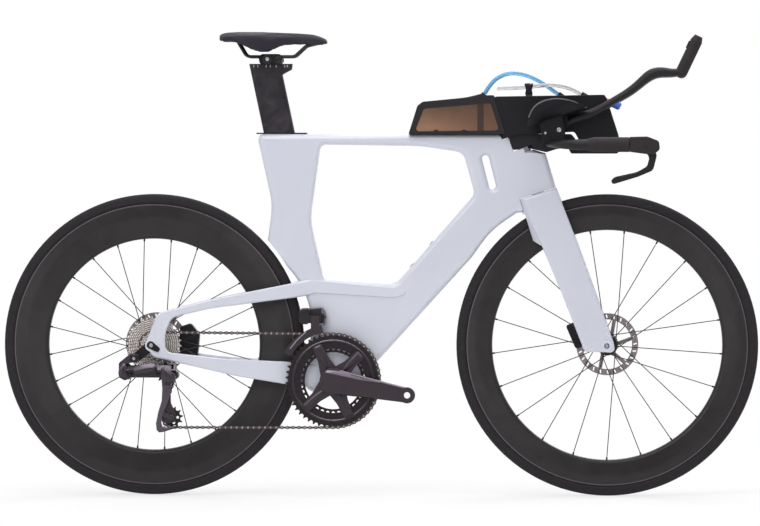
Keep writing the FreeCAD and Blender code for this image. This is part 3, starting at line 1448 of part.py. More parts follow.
CUP = cup_shell(CUP_TUBE, CUP_TUBE - CUP_WALL, 0)
nodes["arm_cups"] = both_sides(CUP)
nodes["arm_pads"] = both_sides(cup_shell(CUP_TUBE - CUP_WALL, CUP_TUBE - CUP_WALL - PAD_THICK, 1.5))
nodes["arm_brackets"] = both_sides(make_bracket(nodes["base_bar"], EXTENSION))

# Storage box on the top tube, drink box over the stem, hose and straw


def make_rear_box():
    outline = [(65, TOP_TUBE_Z, 1), (85, 876.5, 12), (97, 885.5, 10), (196, 895, 200), (231, 904, 5),
               (240, 900, 3), (262, 900, 3), (290, TOP_TUBE_Z, 1)]
    cavity = [(72, TOP_TUBE_Z + 3, 3), (88, 871, 10), (100, 882, 8), (196, 891.5, 100), (226, 896, 5),
              (226, 817, 4), (100, TOP_TUBE_Z + 3, 3)]
    window = [(80, 819, 6), (99.6, 869.5, 9), (249, 882, 7), (268.5, 821, 6)]
    body = soft_plate(outline, -BOX_HALF, BOX_HALF, 0.9)
    body = body.cut(plate(cavity, -BOX_HALF + BOX_WALL, BOX_HALF - BOX_WALL))
    pane = 2.0
    for low in (-BOX_HALF - 1, BOX_HALF - pane):
        body = body.cut(plate(window, low, low + pane + 1))
    start = vec(HOSE_POINTS[0][0], HOSE_Y, HOSE_POINTS[0][1])
    along = vec(HOSE_POINTS[1][0], HOSE_Y, HOSE_POINTS[1][1]) - start
    along.normalize()
    body = body.fuse(rod(start - along * 12, along, PORT, 12))
    body = body.cut(steer_rod(BOX_TURN, 100, 300))
    panes = []
    for low in (-BOX_HALF, BOX_HALF - pane):
        panes.append(plate(window, low, low + pane).cut(steer_rod(BOX_TURN, 100, 300)))
    return body, Part.makeCompound(panes)


def box_outline():
    seat = steer_point(0, BOX_SEAT)
    heel = steer_point(-60, BOX_SEAT)
    return [(257, 897, 6), (504, 901, 5), (509, 894, 6), (536, 810, 30), (539, 777, 6), (533, 769, 5),
            (430, 769, 4), (424, 779, 4), (447, 800, 5), (437, 818, 8), (352, STEM_TOP, 100),
            (seat.x, seat.z, 2), (heel.x, heel.z)]


def make_front_box():
    body = soft_plate(box_outline(), -FRONT_BOX_HALF, FRONT_BOX_HALF, 1.8)
    turning = steer_rod(FRONT_BOX_TURN, 100, 400).fuse(fore_half(-100, 400))
    body = body.common(turning)
    body = body.cut(steer_rod(STEERER_RADIUS, 0, HEAD_LENGTH + 26))
    for points, y in ((HOSE_POINTS[::-1], HOSE_Y), (STRAW_POINTS, STRAW_Y)):
        start = vec(points[0][0], y, points[0][1])
        along = vec(points[1][0], y, points[1][1]) - start
        along.normalize()
        body = body.fuse(rod(start - along * 16, along, PORT, 16))
    above = Part.makeBox(600, 200, 200, vec(100, -100, LID_Z))
    return body.cut(above), body.common(above)


def make_fittings(straw):
    clip = soft_plate([(327, 896, 2), (343, 896, 2), (341, 922, 3), (338, 927, 3), (330, 927, 3),
                       (328, 922, 3)],
                      STRAW_Y - 6.5, STRAW_Y + 6.5, 1.5)
    clip = clip.cut(straw).cut(nodes["box_lid"])
    clip = sorted(clip.Solids, key=lambda solid: solid.Volume)[-1]
    away = vec(0.9, 0, -0.436)
    away.normalize()
    start = vec(505, 0, 891)
    collar = rod(start, away, 5, 14).cut(nodes["front_box"]).cut(nodes["box_lid"])
    collar = sorted(collar.Solids, key=lambda solid: solid.Volume)[-1]
    knob = rod(start + away * 14, away, 9, 22)
    knob = knob.fuse(Part.makeCone(9, 6.5, 3, start + away * 36, away))
    return Part.makeCompound([clip, collar, knob])


def flat_path(points, y):
    return [vec(x, y, z) for x, z in points]


rear_box, panes = make_rear_box()
nodes["storage_box"] = rear_box
nodes["storage_windows"] = panes
nodes["front_box"], nodes["box_lid"] = make_front_box()
hose, hose_length, hose_radii = bent_tube(flat_path(HOSE_POINTS, HOSE_Y), HOSE_RADIUS)
straw, straw_length, straw_radii = bent_tube(flat_path(STRAW_POINTS, STRAW_Y), STRAW_RADIUS)
for name, tube, length, radius, radii in (("blue_hose", hose, hose_length, HOSE_RADIUS, hose_radii),
                                          ("straw", straw, straw_length, STRAW_RADIUS, straw_radii)):
    print(name, "bend radii", radii, "volume share",
          round(tube.Volume / (math.pi * radius ** 2 * length), 3))
    nodes[name] = tube
for points, y, radius in ((HOSE_POINTS, HOSE_Y, HOSE_RADIUS), (STRAW_POINTS, STRAW_Y, STRAW_RADIUS)):
    nodes["box_lid"] = nodes["box_lid"].cut(bent_tube(flat_path(points, y), radius + SKIN)[0])
nodes["box_fittings"] = make_fittings(straw)


os.makedirs("parts", exist_ok=True)
for name, shape in nodes.items():
    shape.exportStep("parts/" + name + ".step")
    print(name, shape.isValid(), len(shape.Solids), round(shape.Volume))
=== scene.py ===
import math

import bpy
from mathutils import Matrix, Vector


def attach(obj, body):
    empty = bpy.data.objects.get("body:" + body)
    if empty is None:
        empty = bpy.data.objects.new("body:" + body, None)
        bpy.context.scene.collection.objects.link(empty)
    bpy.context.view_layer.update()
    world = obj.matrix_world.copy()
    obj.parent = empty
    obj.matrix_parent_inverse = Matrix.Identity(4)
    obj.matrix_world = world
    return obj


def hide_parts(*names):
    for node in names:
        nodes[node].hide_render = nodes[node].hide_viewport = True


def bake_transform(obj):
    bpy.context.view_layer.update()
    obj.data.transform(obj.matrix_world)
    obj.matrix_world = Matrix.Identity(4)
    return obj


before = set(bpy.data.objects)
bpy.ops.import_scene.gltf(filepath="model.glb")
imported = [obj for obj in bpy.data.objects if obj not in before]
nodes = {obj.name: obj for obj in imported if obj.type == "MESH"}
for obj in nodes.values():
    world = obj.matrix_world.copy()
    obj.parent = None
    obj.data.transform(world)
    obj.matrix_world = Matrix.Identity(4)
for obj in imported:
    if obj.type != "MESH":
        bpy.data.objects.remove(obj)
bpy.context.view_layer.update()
scene = bpy.context.scene
scene.view_settings.view_transform = "Standard"
print("frame loaded,", len(nodes), "nodes")

rearHub = (-0.5105, 0.0, 0.339)
frontHub = (0.5105, 0.0, 0.339)
bottomBracket = (-0.10369, 0.0, 0.259)
weldGap = 0.00002


def hexColor(code):
    parts = [int(code[i:i + 2], 16) / 255 for i in (1, 3, 5)]
    linear = [p / 12.92 if p <= 0.04045 else ((p + 0.055) / 1.055) ** 2.4 for p in parts]
    return (linear[0], linear[1], linear[2], 1.0)


# a socket is linked, and any other value is set on the input of that name or number, or else on the node
def addNode(tree, kind, values=None):
    node = tree.nodes.new(kind)
    for key, value in (values or {}).items():
        if isinstance(key, str) and key not in node.inputs:
            setattr(node, key, value)
        elif isinstance(value, bpy.types.NodeSocket):
            tree.links.new(value, node.inputs[key])
        else:
            node.inputs[key].default_value = value
    return node


def newMaterial(name, values):
    mat = bpy.data.materials.new(name)
    mat.use_nodes = True
    tree = mat.node_tree
    shader = tree.nodes["Principled BSDF"]
    for key, value in values.items():
        shader.inputs[key].default_value = value
    return mat, tree, shader


def feed(tree, node, links):
    for key, socket in links.items():
        tree.links.new(socket, node.inputs[key])


def objectSpot(tree):
    return addNode(tree, "ShaderNodeTexCoord").outputs["Object"]


# a place measured from a hub, and the length of such a place with its axes weighted, first without the axle's
def hubSpot(tree, hub):
    values = {"Location": (-hub[0], 0, -hub[2]), "Vector": objectSpot(tree)}
    return addNode(tree, "ShaderNodeMapping", values).outputs["Vector"]


def spotLength(tree, spot, weights=(1, 0, 1)):
    flat = addNode(tree, "ShaderNodeVectorMath", {"operation": "MULTIPLY", 0: spot, 1: weights})
    length = addNode(tree, "ShaderNodeVectorMath", {"operation": "LENGTH", 0: flat.outputs["Vector"]})
    return length.outputs["Value"]


def axesOf(tree, spot):
    return addNode(tree, "ShaderNodeSeparateXYZ", {"Vector": spot}).outputs


def noise(tree, spot, scale, detail=2.0, distortion=0.0):
    values = {"Scale": scale, "Detail": detail, "Distortion": distortion, "Vector": spot}
    return addNode(tree, "ShaderNodeTexNoise", values).outputs["Fac"]


def calculate(tree, operation, *terms, clamp=False):
    values = {"operation": operation, "use_clamp": clamp}
    values.update(enumerate(terms))
    return addNode(tree, "ShaderNodeMath", values).outputs["Value"]


def spread(tree, value, low, high, start=0.0, end=1.0):
    values = {"From Min": start, "From Max": end, "To Min": low, "To Max": high, "Value": value}
    return addNode(tree, "ShaderNodeMapRange", values).outputs["Result"]


# a colour Mix node has its factor on input 0, its colours on 6 and 7 and its result on output 2
def mixTones(tree, factor, first, second, blend="MIX"):
    values = {"data_type": "RGBA", "blend_type": blend, 0: factor, 6: first, 7: second}
    return addNode(tree, "ShaderNodeMix", values).outputs[2]


def toneRamp(tree, factor, stops):
    ramp = addNode(tree, "ShaderNodeValToRGB", {"Fac": factor})
    tones = ramp.color_ramp.elements
    for tone, (position, code) in zip(tones, (stops[0], stops[-1])):
        tone.position = position
        tone.color = hexColor(code)
    for position, code in stops[1:-1]:
        tones.new(position).color = hexColor(code)
    return ramp.outputs["Color"]


def bumpOf(tree, height, strength, distance, invert=False):
    values = {"Strength": strength, "Distance": distance, "invert": invert, "Height": height}
    return addNode(tree, "ShaderNodeBump", values).outputs["Normal"]


# 1 where a ray comes from the eye, also through clear pieces, and 1 where it comes off a shiny face
def rayKinds(tree):
    path = addNode(tree, "ShaderNodeLightPath").outputs
    straight = calculate(tree, "ADD", path["Is Camera Ray"], path["Is Transmission Ray"], clamp=True)
    return straight, path["Is Glossy Ray"]


def clearSelection():
    if bpy.context.object and bpy.context.object.mode != "OBJECT":
        bpy.ops.object.mode_set(mode="OBJECT")
    bpy.ops.object.select_all(action="DESELECT")


def pickOnly(piece):
    clearSelection()
    piece.select_set(True)
    bpy.context.view_layer.objects.active = piece


# camera, as far off as the photograph's flat perspective asks
cameraSet = {"place": (0.585, -11.8, 0.777), "target": (-0.0007, 0.0, 0.5226), "seenWidth": 1.7119,
             "sensor": 36.0, "farthest": 100}
clearSelection()
bpy.ops.object.camera_add(location=cameraSet["place"])
camera = bpy.context.object
sight = Vector(cameraSet["target"]) - camera.location
camera.rotation_euler = sight.to_track_quat("-Z", "Y").to_euler()
camera.data.sensor_width = cameraSet["sensor"]
camera.data.lens = cameraSet["sensor"] * sight.length / cameraSet["seenWidth"]
camera.data.clip_end = cameraSet["farthest"]
scene.camera = camera
print("camera lens", round(camera.data.lens, 1))


# one smooth curve through the points of a route, and a round tube with closed ends along it
def routeLine(name, places, steps):
    curve = bpy.data.curves.new(name + "Line", "CURVE")
    curve.dimensions = "3D"
    spline = curve.splines.new("NURBS")
    spline.points.add(len(places) - 1)
    for point, (x, y, z) in zip(spline.points, places):
        point.co = (x / 1000, y / 1000, z / 1000, 1)
    spline.order_u = 3
    spline.use_endpoint_u = True
    spline.resolution_u = steps
    piece = bpy.data.objects.new(name, curve)
    scene.collection.objects.link(piece)
    return piece


def tubeAlong(piece, radius, roundness):
    name = piece.name
    piece.data.bevel_depth = radius / 1000
    piece.data.bevel_resolution = roundness
    piece.data.use_fill_caps = True
    pickOnly(piece)
    bpy.ops.object.convert(target="MESH")
    tube = bpy.context.object
    tube.name = name
    bpy.ops.object.shade_smooth()
    return tube


# drink hose and straw: fixed lengths of soft tube
def hosePiece(settings):
    piece = routeLine(settings["name"], [(x, settings["side"], z) for x, z in settings["route"]], steps=10)
    bare = bpy.data.meshes.new_from_object(piece)
    piece = tubeAlong(piece, settings["diameter"] / 2, roundness=6)
    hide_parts(settings["node"])
    return piece


blueHoseSet = {
    "name": "drinkHose", "node": "blue_hose", "slot": "hose_blue", "end": "object", "diameter": 9.4,
    "side": 4.0,
    "route": [(235, 904), (248, 927), (272, 945), (300, 951), (330, 945), (356, 933), (379, 918),
              (400, 902.5)],
    "bendStart": (0.245, 0.004, 0.92), "bendEnd": (0.395, 0.004, 0.92),
}
strawSet = {
    "name": "drinkStraw", "node": "straw", "slot": "hose_clear", "end": "bare", "diameter": 8.6,
    "side": -14.0,
    "route": [(452, 902), (431, 914), (406, 921), (378, 923.5), (344, 919.5), (303, 916.2), (263, 915.4)],
}
drinkHose = hosePiece(blueHoseSet)
drinkStraw = hosePiece(strawSet)
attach(drinkStraw, "steering")
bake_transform(drinkHose)


# two-layer car paint on carbon: pale base under clear lacquer, so a soft body colour and sharp highlights
def paintMaterial():
    mat, tree, shader = newMaterial("glossPaint", {"Roughness": 0.34, "IOR": 1.5, "Coat Weight": 1.0,
                                                   "Coat Roughness": 0.04})
    spot = objectSpot(tree)
    cloud = noise(tree, spot, scale=7.0)
    flake = noise(tree, spot, scale=1800.0, detail=0.0)
    peel = noise(tree, spot, scale=260.0, detail=1.0)
    tone = mixTones(tree, cloud, hexColor("#CBCEDC"), hexColor("#D6D9E4"))
    feed(tree, shader, {"Base Color": mixTones(tree, 0.06, tone, flake, "SOFT_LIGHT"),
                        "Normal": bumpOf(tree, peel, strength=0.03, distance=0.001)})
    return mat


# chopped carbon under satin lacquer: slow marbling of greys, faint sheen
def postMaterial():
    mat, tree, shader = newMaterial("marbledCarbon", {"Roughness": 0.45, "Coat Weight": 0.12,
                                                      "Coat Roughness": 0.3, "Specular IOR Level": 0.25})
    warp = noise(tree, objectSpot(tree), scale=26.0, detail=5.0, distortion=1.2)
    feed(tree, shader, {"Base Color": toneRamp(tree, warp, [(0.38, "#1F1C22"), (0.68, "#352F36")]),
                        "Roughness": spread(tree, warp, low=0.36, high=0.54)})
    return mat


# wound carbon rim: satin brown-black whose fibres run round, so its shine turns with the angle, with a darker
# band by the spokes and a pale line by the tyre painted on as a highlight along the hook edge
rimSet = {"rearInner": 0.238, "frontInner": 0.258, "band": 0.012, "edgeStart": 0.3125, "edgeEnd": 0.3145}


def rimMaterial(name, hub, inner):
    mat, tree, shader = newMaterial(name, {"Roughness": 0.45, "Coat Weight": 0.06, "Coat Roughness": 0.3,
                                           "Specular IOR Level": 0.4, "Anisotropic": 0.75})
    spot = hubSpot(tree, hub)
    radius = spotLength(tree, spot)
    weave = addNode(tree, "ShaderNodeTexChecker", {"Scale": 170.0, "Vector": spot}).outputs["Fac"]
    marble = noise(tree, spot, scale=24.0, detail=3.0, distortion=0.5)
    fibres = toneRamp(tree, marble, [(0.3, "#1C181A"), (0.72, "#272225")])
    woven = mixTones(tree, 0.05, fibres, weave, "MULTIPLY")
    band = spread(tree, radius, low=0.55, high=1.0, start=inner, end=inner + rimSet["band"])
    shade = mixTones(tree, 0.5, woven, band, "MULTIPLY")
    # painted highlight: a pale line along the rim's hook edge
    edge = spread(tree, radius, low=0.0, high=0.7, start=rimSet["edgeStart"], end=rimSet["edgeEnd"])
    grainWay = addNode(tree, "ShaderNodeTangent", {"direction_type": "RADIAL", "axis": "Y"})
    feed(tree, shader, {"Base Color": mixTones(tree, edge, shade, hexColor("#6A6266")),
                        "Roughness": spread(tree, marble, low=0.38, high=0.48),
                        "Normal": bumpOf(tree, weave, strength=0.02, distance=0.0004),
                        "Tangent": grainWay.outputs["Tangent"]})
    return mat


# moulded tyre rubber: matt, a slick crown and slanted file-cut ribs down its sides
tyreSet = {"ribsAround": 260.0, "slant": 420.0, "slickFrom": 0.337, "ribbedFrom": 0.330}


def tyreMaterial(name, hub):
    mat, tree, shader = newMaterial(name, {"Roughness": 0.72, "Specular IOR Level": 0.25})
    spot = hubSpot(tree, hub)
    radius = spotLength(tree, spot)
    axes = axesOf(tree, spot)
    turn = calculate(tree, "ARCTAN2", axes["Z"], axes["X"])
    slant = calculate(tree, "MULTIPLY", radius, tyreSet["slant"])
    wave = calculate(tree, "SINE", calculate(tree, "MULTIPLY_ADD", turn, tyreSet["ribsAround"], slant))
    shoulder = spread(tree, radius, low=0.0, high=1.0, start=tyreSet["slickFrom"], end=tyreSet["ribbedFrom"])
    ribs = calculate(tree, "MULTIPLY", wave, shoulder)
    dust = noise(tree, spot, scale=90.0, detail=4.0)
    feed(tree, shader, {"Base Color": mixTones(tree, dust, hexColor("#201D20"), hexColor("#2D292D")),
                        "Normal": bumpOf(tree, ribs, strength=0.25, distance=0.0006)})
    return mat


# turned or laser-cut metal: rings of fine marks round a centre
def turnedMetal(name, centre, light, dark, metallic, roughness):
    mat, tree, shader = newMaterial(name, {"Metallic": metallic, "Roughness": roughness})
    spot = hubSpot(tree, centre)
    marks = addNode(tree, "ShaderNodeTexWave", {"wave_type": "RINGS", "rings_direction": "Y", "Scale": 260.0,
                                                "Distortion": 0.6, "Detail": 2.0, "Vector": spot})
    rings = marks.outputs["Fac"]
    wear = noise(tree, spot, scale=160.0, detail=4.0)
    feed(tree, shader, {"Base Color": mixTones(tree, wear, hexColor(dark), hexColor(light)),
                        "Roughness": spread(tree, rings, low=roughness - 0.06, high=roughness + 0.1),
                        "Normal": bumpOf(tree, rings, strength=0.04, distance=0.0003)})
    return mat


# lacquered faceted alloy with painted light: faces that look up are painted paler as a painted highlight and
# undersides are painted nearly black as painted shade, so that edges read crisply; random wear mottles the tone
# a little
def paintedLightMetal(name, low, mid, high, metallic, roughness):
    mat, tree, shader = newMaterial(name, {"Metallic": metallic, "Roughness": roughness})
    coords = addNode(tree, "ShaderNodeTexCoord").outputs
    wear = noise(tree, coords["Object"], scale=160.0, detail=4.0)
    # painted highlight on faces that look up and painted shade on undersides, from the face's facing
    facing = spread(tree, axesOf(tree, coords["Normal"])["Z"], low=0.0, high=1.0, start=-1.0, end=1.0)
    worn = calculate(tree, "MULTIPLY_ADD", wear, 0.12, -0.06)
    level = calculate(tree, "ADD", facing, worn, clamp=True)
    tone = toneRamp(tree, level, [(0.15, low), (0.45, mid), (0.58, mid), (0.85, high)])
    feed(tree, shader, {"Base Color": tone,
                        "Roughness": spread(tree, wear, low=roughness - 0.06, high=roughness + 0.08)})
    return mat


# moulded nylon, rubber, lacquer and fabric: grain about half a millimetre wide, drawn at 1.5 to 2.5 mm to show
def grainPlastic(name, light, dark, roughness, grainMm):
    mat, tree, shader = newMaterial(name, {"Roughness": roughness, "Specular IOR Level": 0.22})
    spot = objectSpot(tree)
    grain = noise(tree, spot, scale=1000.0 / grainMm)
    cloud = noise(tree, spot, scale=18.0, detail=3.0)
    feed(tree, shader, {"Base Color": mixTones(tree, cloud, hexColor(dark), hexColor(light)),
                        "Roughness": spread(tree, cloud, low=roughness - 0.08, high=roughness + 0.08),
                        "Normal": bumpOf(tree, grain, strength=0.12, distance=0.0004)})
    return mat


# nickel-plated cassette: rows of teeth and lightening slots, about 4 mm deep and 7 mm long, with painted shade
# in the gaps between them
def cassetteMaterial():
    mat, tree, shader = newMaterial("cassetteNickel", {"Metallic": 0.15, "Roughness": 0.26})
    spot = hubSpot(tree, rearHub)
    radius = spotLength(tree, spot)
    axes = axesOf(tree, spot)
    turn = calculate(tree, "ARCTAN2", axes["Z"], calculate(tree, "MULTIPLY", axes["X"], -1.0))
    lean = calculate(tree, "ADD", calculate(tree, "MULTIPLY", turn, radius), radius)
    rowSpot = addNode(tree, "ShaderNodeCombineXYZ", {"X": lean, "Y": radius}).outputs["Vector"]
    # the mortar colour is painted shade in the gaps between the rows of teeth
    rows = addNode(tree, "ShaderNodeTexBrick", {
        "Color1": hexColor("#FFFBF8"), "Color2": hexColor("#E6DCD8"), "Mortar": hexColor("#7B6F6C"),
        "Scale": 1.0, "Brick Width": 0.0072, "Row Height": 0.0044, "Mortar Size": 0.0009, "Mortar Smooth": 0.2,
        "Vector": rowSpot})
    sunk = bumpOf(tree, rows.outputs["Fac"], strength=0.4, distance=0.0008, invert=True)
    feed(tree, shader, {"Base Color": rows.outputs["Color"], "Normal": sunk})
    return mat


# smoked acrylic pane: brown, paler low down, with a dark divider behind it that shows through, hard gloss
windowSet = {"low": 0.819, "high": 0.8815, "rear": 0.11, "front": 0.262, "divider": 0.2268, "half": 0.0062,
             "blur": 0.002}


def windowMaterial():
    mat, tree, shader = newMaterial("smokedAcrylic", {"Roughness": 0.1, "IOR": 1.49, "Specular IOR Level": 0.4,
                                                      "Transmission Weight": 0.12})
    spot = objectSpot(tree)
    axes = axesOf(tree, spot)
    rise = spread(tree, axes["Z"], low=1.0, high=0.05, start=windowSet["low"], end=windowSet["high"])
    cloudy = calculate(tree, "MULTIPLY_ADD", noise(tree, spot, scale=14.0), 0.7, -0.2)
    level = calculate(tree, "ADD", rise, cloudy, clamp=True)
    upright = mixTones(tree, level, hexColor("#574439"), hexColor("#9A765F"))
    fore = spread(tree, axes["X"], low=0.0, high=0.75, start=windowSet["rear"], end=windowSet["front"])
    tone = mixTones(tree, fore, upright, hexColor("#5F4437"))
    off = calculate(tree, "ABSOLUTE", calculate(tree, "SUBTRACT", axes["X"], windowSet["divider"]))
    strip = spread(tree, off, low=0.8, high=0.0, start=windowSet["half"],
                   end=windowSet["half"] + windowSet["blur"])
    feed(tree, shader, {"Base Color": mixTones(tree, strip, tone, hexColor("#38302D"))})
    return mat


# clear vinyl tube with a tint, mottled at random between a darker and a paler tint, the paler patches as soft
# painted highlights along its length
def vinylMaterial(name, light, dark):
    mat, tree, shader = newMaterial(name, {"Roughness": 0.2, "Transmission Weight": 0.45, "IOR": 1.45})
    hazeAndHighlight = noise(tree, objectSpot(tree), scale=60.0)
    feed(tree, shader, {"Base Color": mixTones(tree, hazeAndHighlight, hexColor(dark), hexColor(light))})
    return mat


# moulded fittings: black clip, orange collar and blue knob told apart by how far forward they sit
fittingSet = {"orangeFrom": 0.45, "blueFrom": 0.5178}


def fittingMaterial():
    mat, tree, shader = newMaterial("fittingNylon", {"Roughness": 0.4})
    spot = objectSpot(tree)
    ahead = axesOf(tree, spot)["X"]
    orange = calculate(tree, "GREATER_THAN", ahead, fittingSet["orangeFrom"])
    blue = calculate(tree, "GREATER_THAN", ahead, fittingSet["blueFrom"])
    rearTone = mixTones(tree, orange, hexColor("#2A2A2E"), hexColor("#D97A2B"))
    grain = noise(tree, spot, scale=500.0)
    feed(tree, shader, {"Base Color": mixTones(tree, blue, rearTone, hexColor("#3F6FD0")),
                        "Normal": bumpOf(tree, grain, strength=0.1, distance=0.0003)})
    return mat


paintMat = paintMaterial()
postMat = postMaterial()
print("paint and carbon made")
cassetteMat = cassetteMaterial()
rearRimMat = rimMaterial("rearRimCarbon", rearHub, rimSet["rearInner"])
frontRimMat = rimMaterial("frontRimCarbon", frontHub, rimSet["frontInner"])
rearTyreMat = tyreMaterial("rearTyreRubber", rearHub)
frontTyreMat = tyreMaterial("frontTyreRubber", frontHub)
rearRotorMat = turnedMetal("rearRotorSteel", rearHub, "#A79DA1", "#7E7478", metallic=1.0, roughness=0.34)
frontRotorMat = turnedMetal("frontRotorSteel", frontHub, "#A79DA1", "#7E7478", metallic=1.0, roughness=0.34)
rearHubMat = turnedMetal("rearHubAnodised", rearHub, "#2B292C", "#1B1A1C", metallic=0.7, roughness=0.38)
frontHubMat = turnedMetal("frontHubAnodised", frontHub, "#2B292C", "#1B1A1C", metallic=0.7, roughness=0.38)
ringMat = turnedMetal("ringAnodised", bottomBracket, "#3A3437", "#262225", metallic=0.8, roughness=0.36)
# crank and lip finishes carry a painted highlight on up-facing faces and painted shade on undersides
crankMat = paintedLightMetal("crankAnodised", "#252024", "#3E363D", "#8A7F8B", metallic=0.55, roughness=0.34)
# paler alloy: a painted highlight on the crank's upper chamfer, and the real bright tab of the shifter's mount
# plate
facetMat = turnedMetal("facetAnodised", bottomBracket, "#8B808E", "#6E6472", metallic=0.7, roughness=0.3)
lipMat = paintedLightMetal("lipAnodised", "#2A262A", "#3A343A", "#A79CA9", metallic=0.5, roughness=0.28)
pulleyMat = grainPlastic("pulleyNylon", "#2A282A", "#1D1C1E", roughness=0.5, grainMm=1.5)
spokeMat = turnedMetal("blackSpokeSteel", rearHub, "#3C3A3D", "#29282B", metallic=0.8, roughness=0.4)
chainMat = turnedMetal("chainSteel", bottomBracket, "#6F6566", "#4A4243", metallic=1.0, roughness=0.36)
boltMat = turnedMetal("boltSteel", bottomBracket, "#C9C5C8", "#9B979B", metallic=1.0, roughness=0.28)
darkBoltMat = turnedMetal("blackBoltSteel", rearHub, "#3B383B", "#242224", metallic=0.8, roughness=0.34)
# derailleur, shifter and cage finishes carry a painted highlight on up-facing faces and painted shade on
# undersides
mechMat = paintedLightMetal("derailleurLacquer", "#191619", "#3B343B", "#756B77", metallic=0.35, roughness=0.3)
shifterMat = paintedLightMetal("shifterLacquer", "#131114", "#272328", "#5C545E", metallic=0.35, roughness=0.3)
cageMat = paintedLightMetal("cageLacquer", "#2A262A", "#564D57", "#7C727E", metallic=0.4, roughness=0.3)
boxMat = grainPlastic("boxNylon", "#1A1A20", "#111115", roughness=0.5, grainMm=1.5)
storageMat = grainPlastic("storageNylon", "#2C292D", "#201E22", roughness=0.5, grainMm=1.5)
barMat = grainPlastic("barLacquer", "#292529", "#1C1A1D", roughness=0.4, grainMm=2.0)
gripMat = grainPlastic("gripRubber", "#353033", "#272325", roughness=0.65, grainMm=2.5)
saddleMat = grainPlastic("saddleSkin", "#312D38", "#24212A", roughness=0.5, grainMm=1.5)
# pale bead tone: a painted highlight along the arm cups' edges
beadHighlightMat = grainPlastic("rolledRubberHighlight", "#7A7880", "#5C5A62", roughness=0.45, grainMm=1.5)
printMat = grainPlastic("printEnamel", "#B4B1B7", "#A3A0A7", roughness=0.6, grainMm=1.5)
padMat = grainPlastic("padFabric", "#1D1C20", "#131316", roughness=0.9, grainMm=1.6)
windowMat = windowMaterial()
blueVinylMat = vinylMaterial("blueVinyl", "#8FCBF0", "#62B0E2")
clearVinylMat = vinylMaterial("clearVinyl", "#E4E5E8", "#CFD0D5")
fittingMat = fittingMaterial()
print("materials made")

finishes = {
    "frame_main": paintMat, "stay_right": paintMat, "stay_left": paintMat, "fork": paintMat,
    "seat_post": postMat, "seat_gasket": gripMat, "frame_bearings": boltMat, "bottle_inserts": boltMat,
    "front_tyre": frontTyreMat, "front_rim": frontRimMat, "front_spokes": spokeMat, "front_hub": frontHubMat,
    "front_rotor": frontRotorMat, "front_axle": frontHubMat, "front_caliper": frontHubMat,
    "rear_tyre": rearTyreMat, "rear_rim": rearRimMat, "rear_spokes": spokeMat, "rear_hub": rearHubMat,
    "rear_rotor": rearRotorMat, "rear_axle": rearHubMat, "rear_caliper": rearHubMat, "hanger": rearHubMat,
    "crank_right": crankMat, "crank_left": crankMat, "big_ring": ringMat, "small_ring": ringMat,
    "cassette": cassetteMat, "chain": chainMat, "guide_pulley": pulleyMat, "tension_pulley": pulleyMat,
    "derailleur_body": mechMat, "derailleur_outer_link": mechMat, "derailleur_inner_link": mechMat,
    "derailleur_knuckle": mechMat, "derailleur_cage": crankMat,
    "front_shifter": shifterMat, "shifter_cage": crankMat,
    "saddle_clamp": boxMat, "saddle_cover": saddleMat, "saddle_rails": darkBoltMat,
    "base_bar": barMat, "bar_grips": gripMat, "brake_hoods": gripMat, "lever_left": barMat,
    "lever_right": barMat, "extensions": barMat, "extension_grips": gripMat, "button_left": boxMat,
    "button_right": boxMat,
    "arm_cups": boxMat, "arm_pads": padMat, "arm_brackets": boxMat, "front_box": boxMat, "box_lid": boxMat,
    "storage_box": storageMat, "storage_windows": windowMat,
    "blue_hose": blueVinylMat, "straw": clearVinylMat, "box_fittings": fittingMat,
}


def dress(piece, mat):
    piece.data.materials.clear()
    piece.data.materials.append(mat)


for nodeName, mat in finishes.items():
    dress(nodes[nodeName], mat)
dress(drinkHose, blueVinylMat)
dress(drinkStraw, clearVinylMat)
print("nodes dressed")


# small steps that the pieces share
def editAll(piece):
    pickOnly(piece)
    bpy.ops.object.mode_set(mode="EDIT")
    bpy.ops.mesh.select_all(action="SELECT")


def reshape(piece, kind, values):
    change = piece.modifiers.new(kind.lower(), kind)
    for key, value in values.items():
        setattr(change, key, value)
    bpy.ops.object.modifier_apply(modifier=change.name)


def copyPiece(piece):
    twin = piece.copy()
    twin.data = piece.data.copy()
    scene.collection.objects.link(twin)
    return twin


def otherSide(piece):
    twin = copyPiece(piece)
    twin.data.transform(Matrix.Diagonal((1, -1, 1, 1)))
    twin.data.flip_normals()
    return twin


def joinPieces(pieces, name):
    clearSelection()
    for piece in pieces:
        piece.select_set(True)
    bpy.context.view_layer.objects.active = pieces[0]
    if len(pieces) > 1:
        bpy.ops.object.join()
    whole = bpy.context.object
    whole.name = name
    return whole


def joinBothSides(pieces, name):
    return joinPieces([half for piece in pieces for half in (piece, otherSide(piece))], name)


def finishPiece(piece, body, mat):
    dress(piece, mat)
    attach(piece, body)


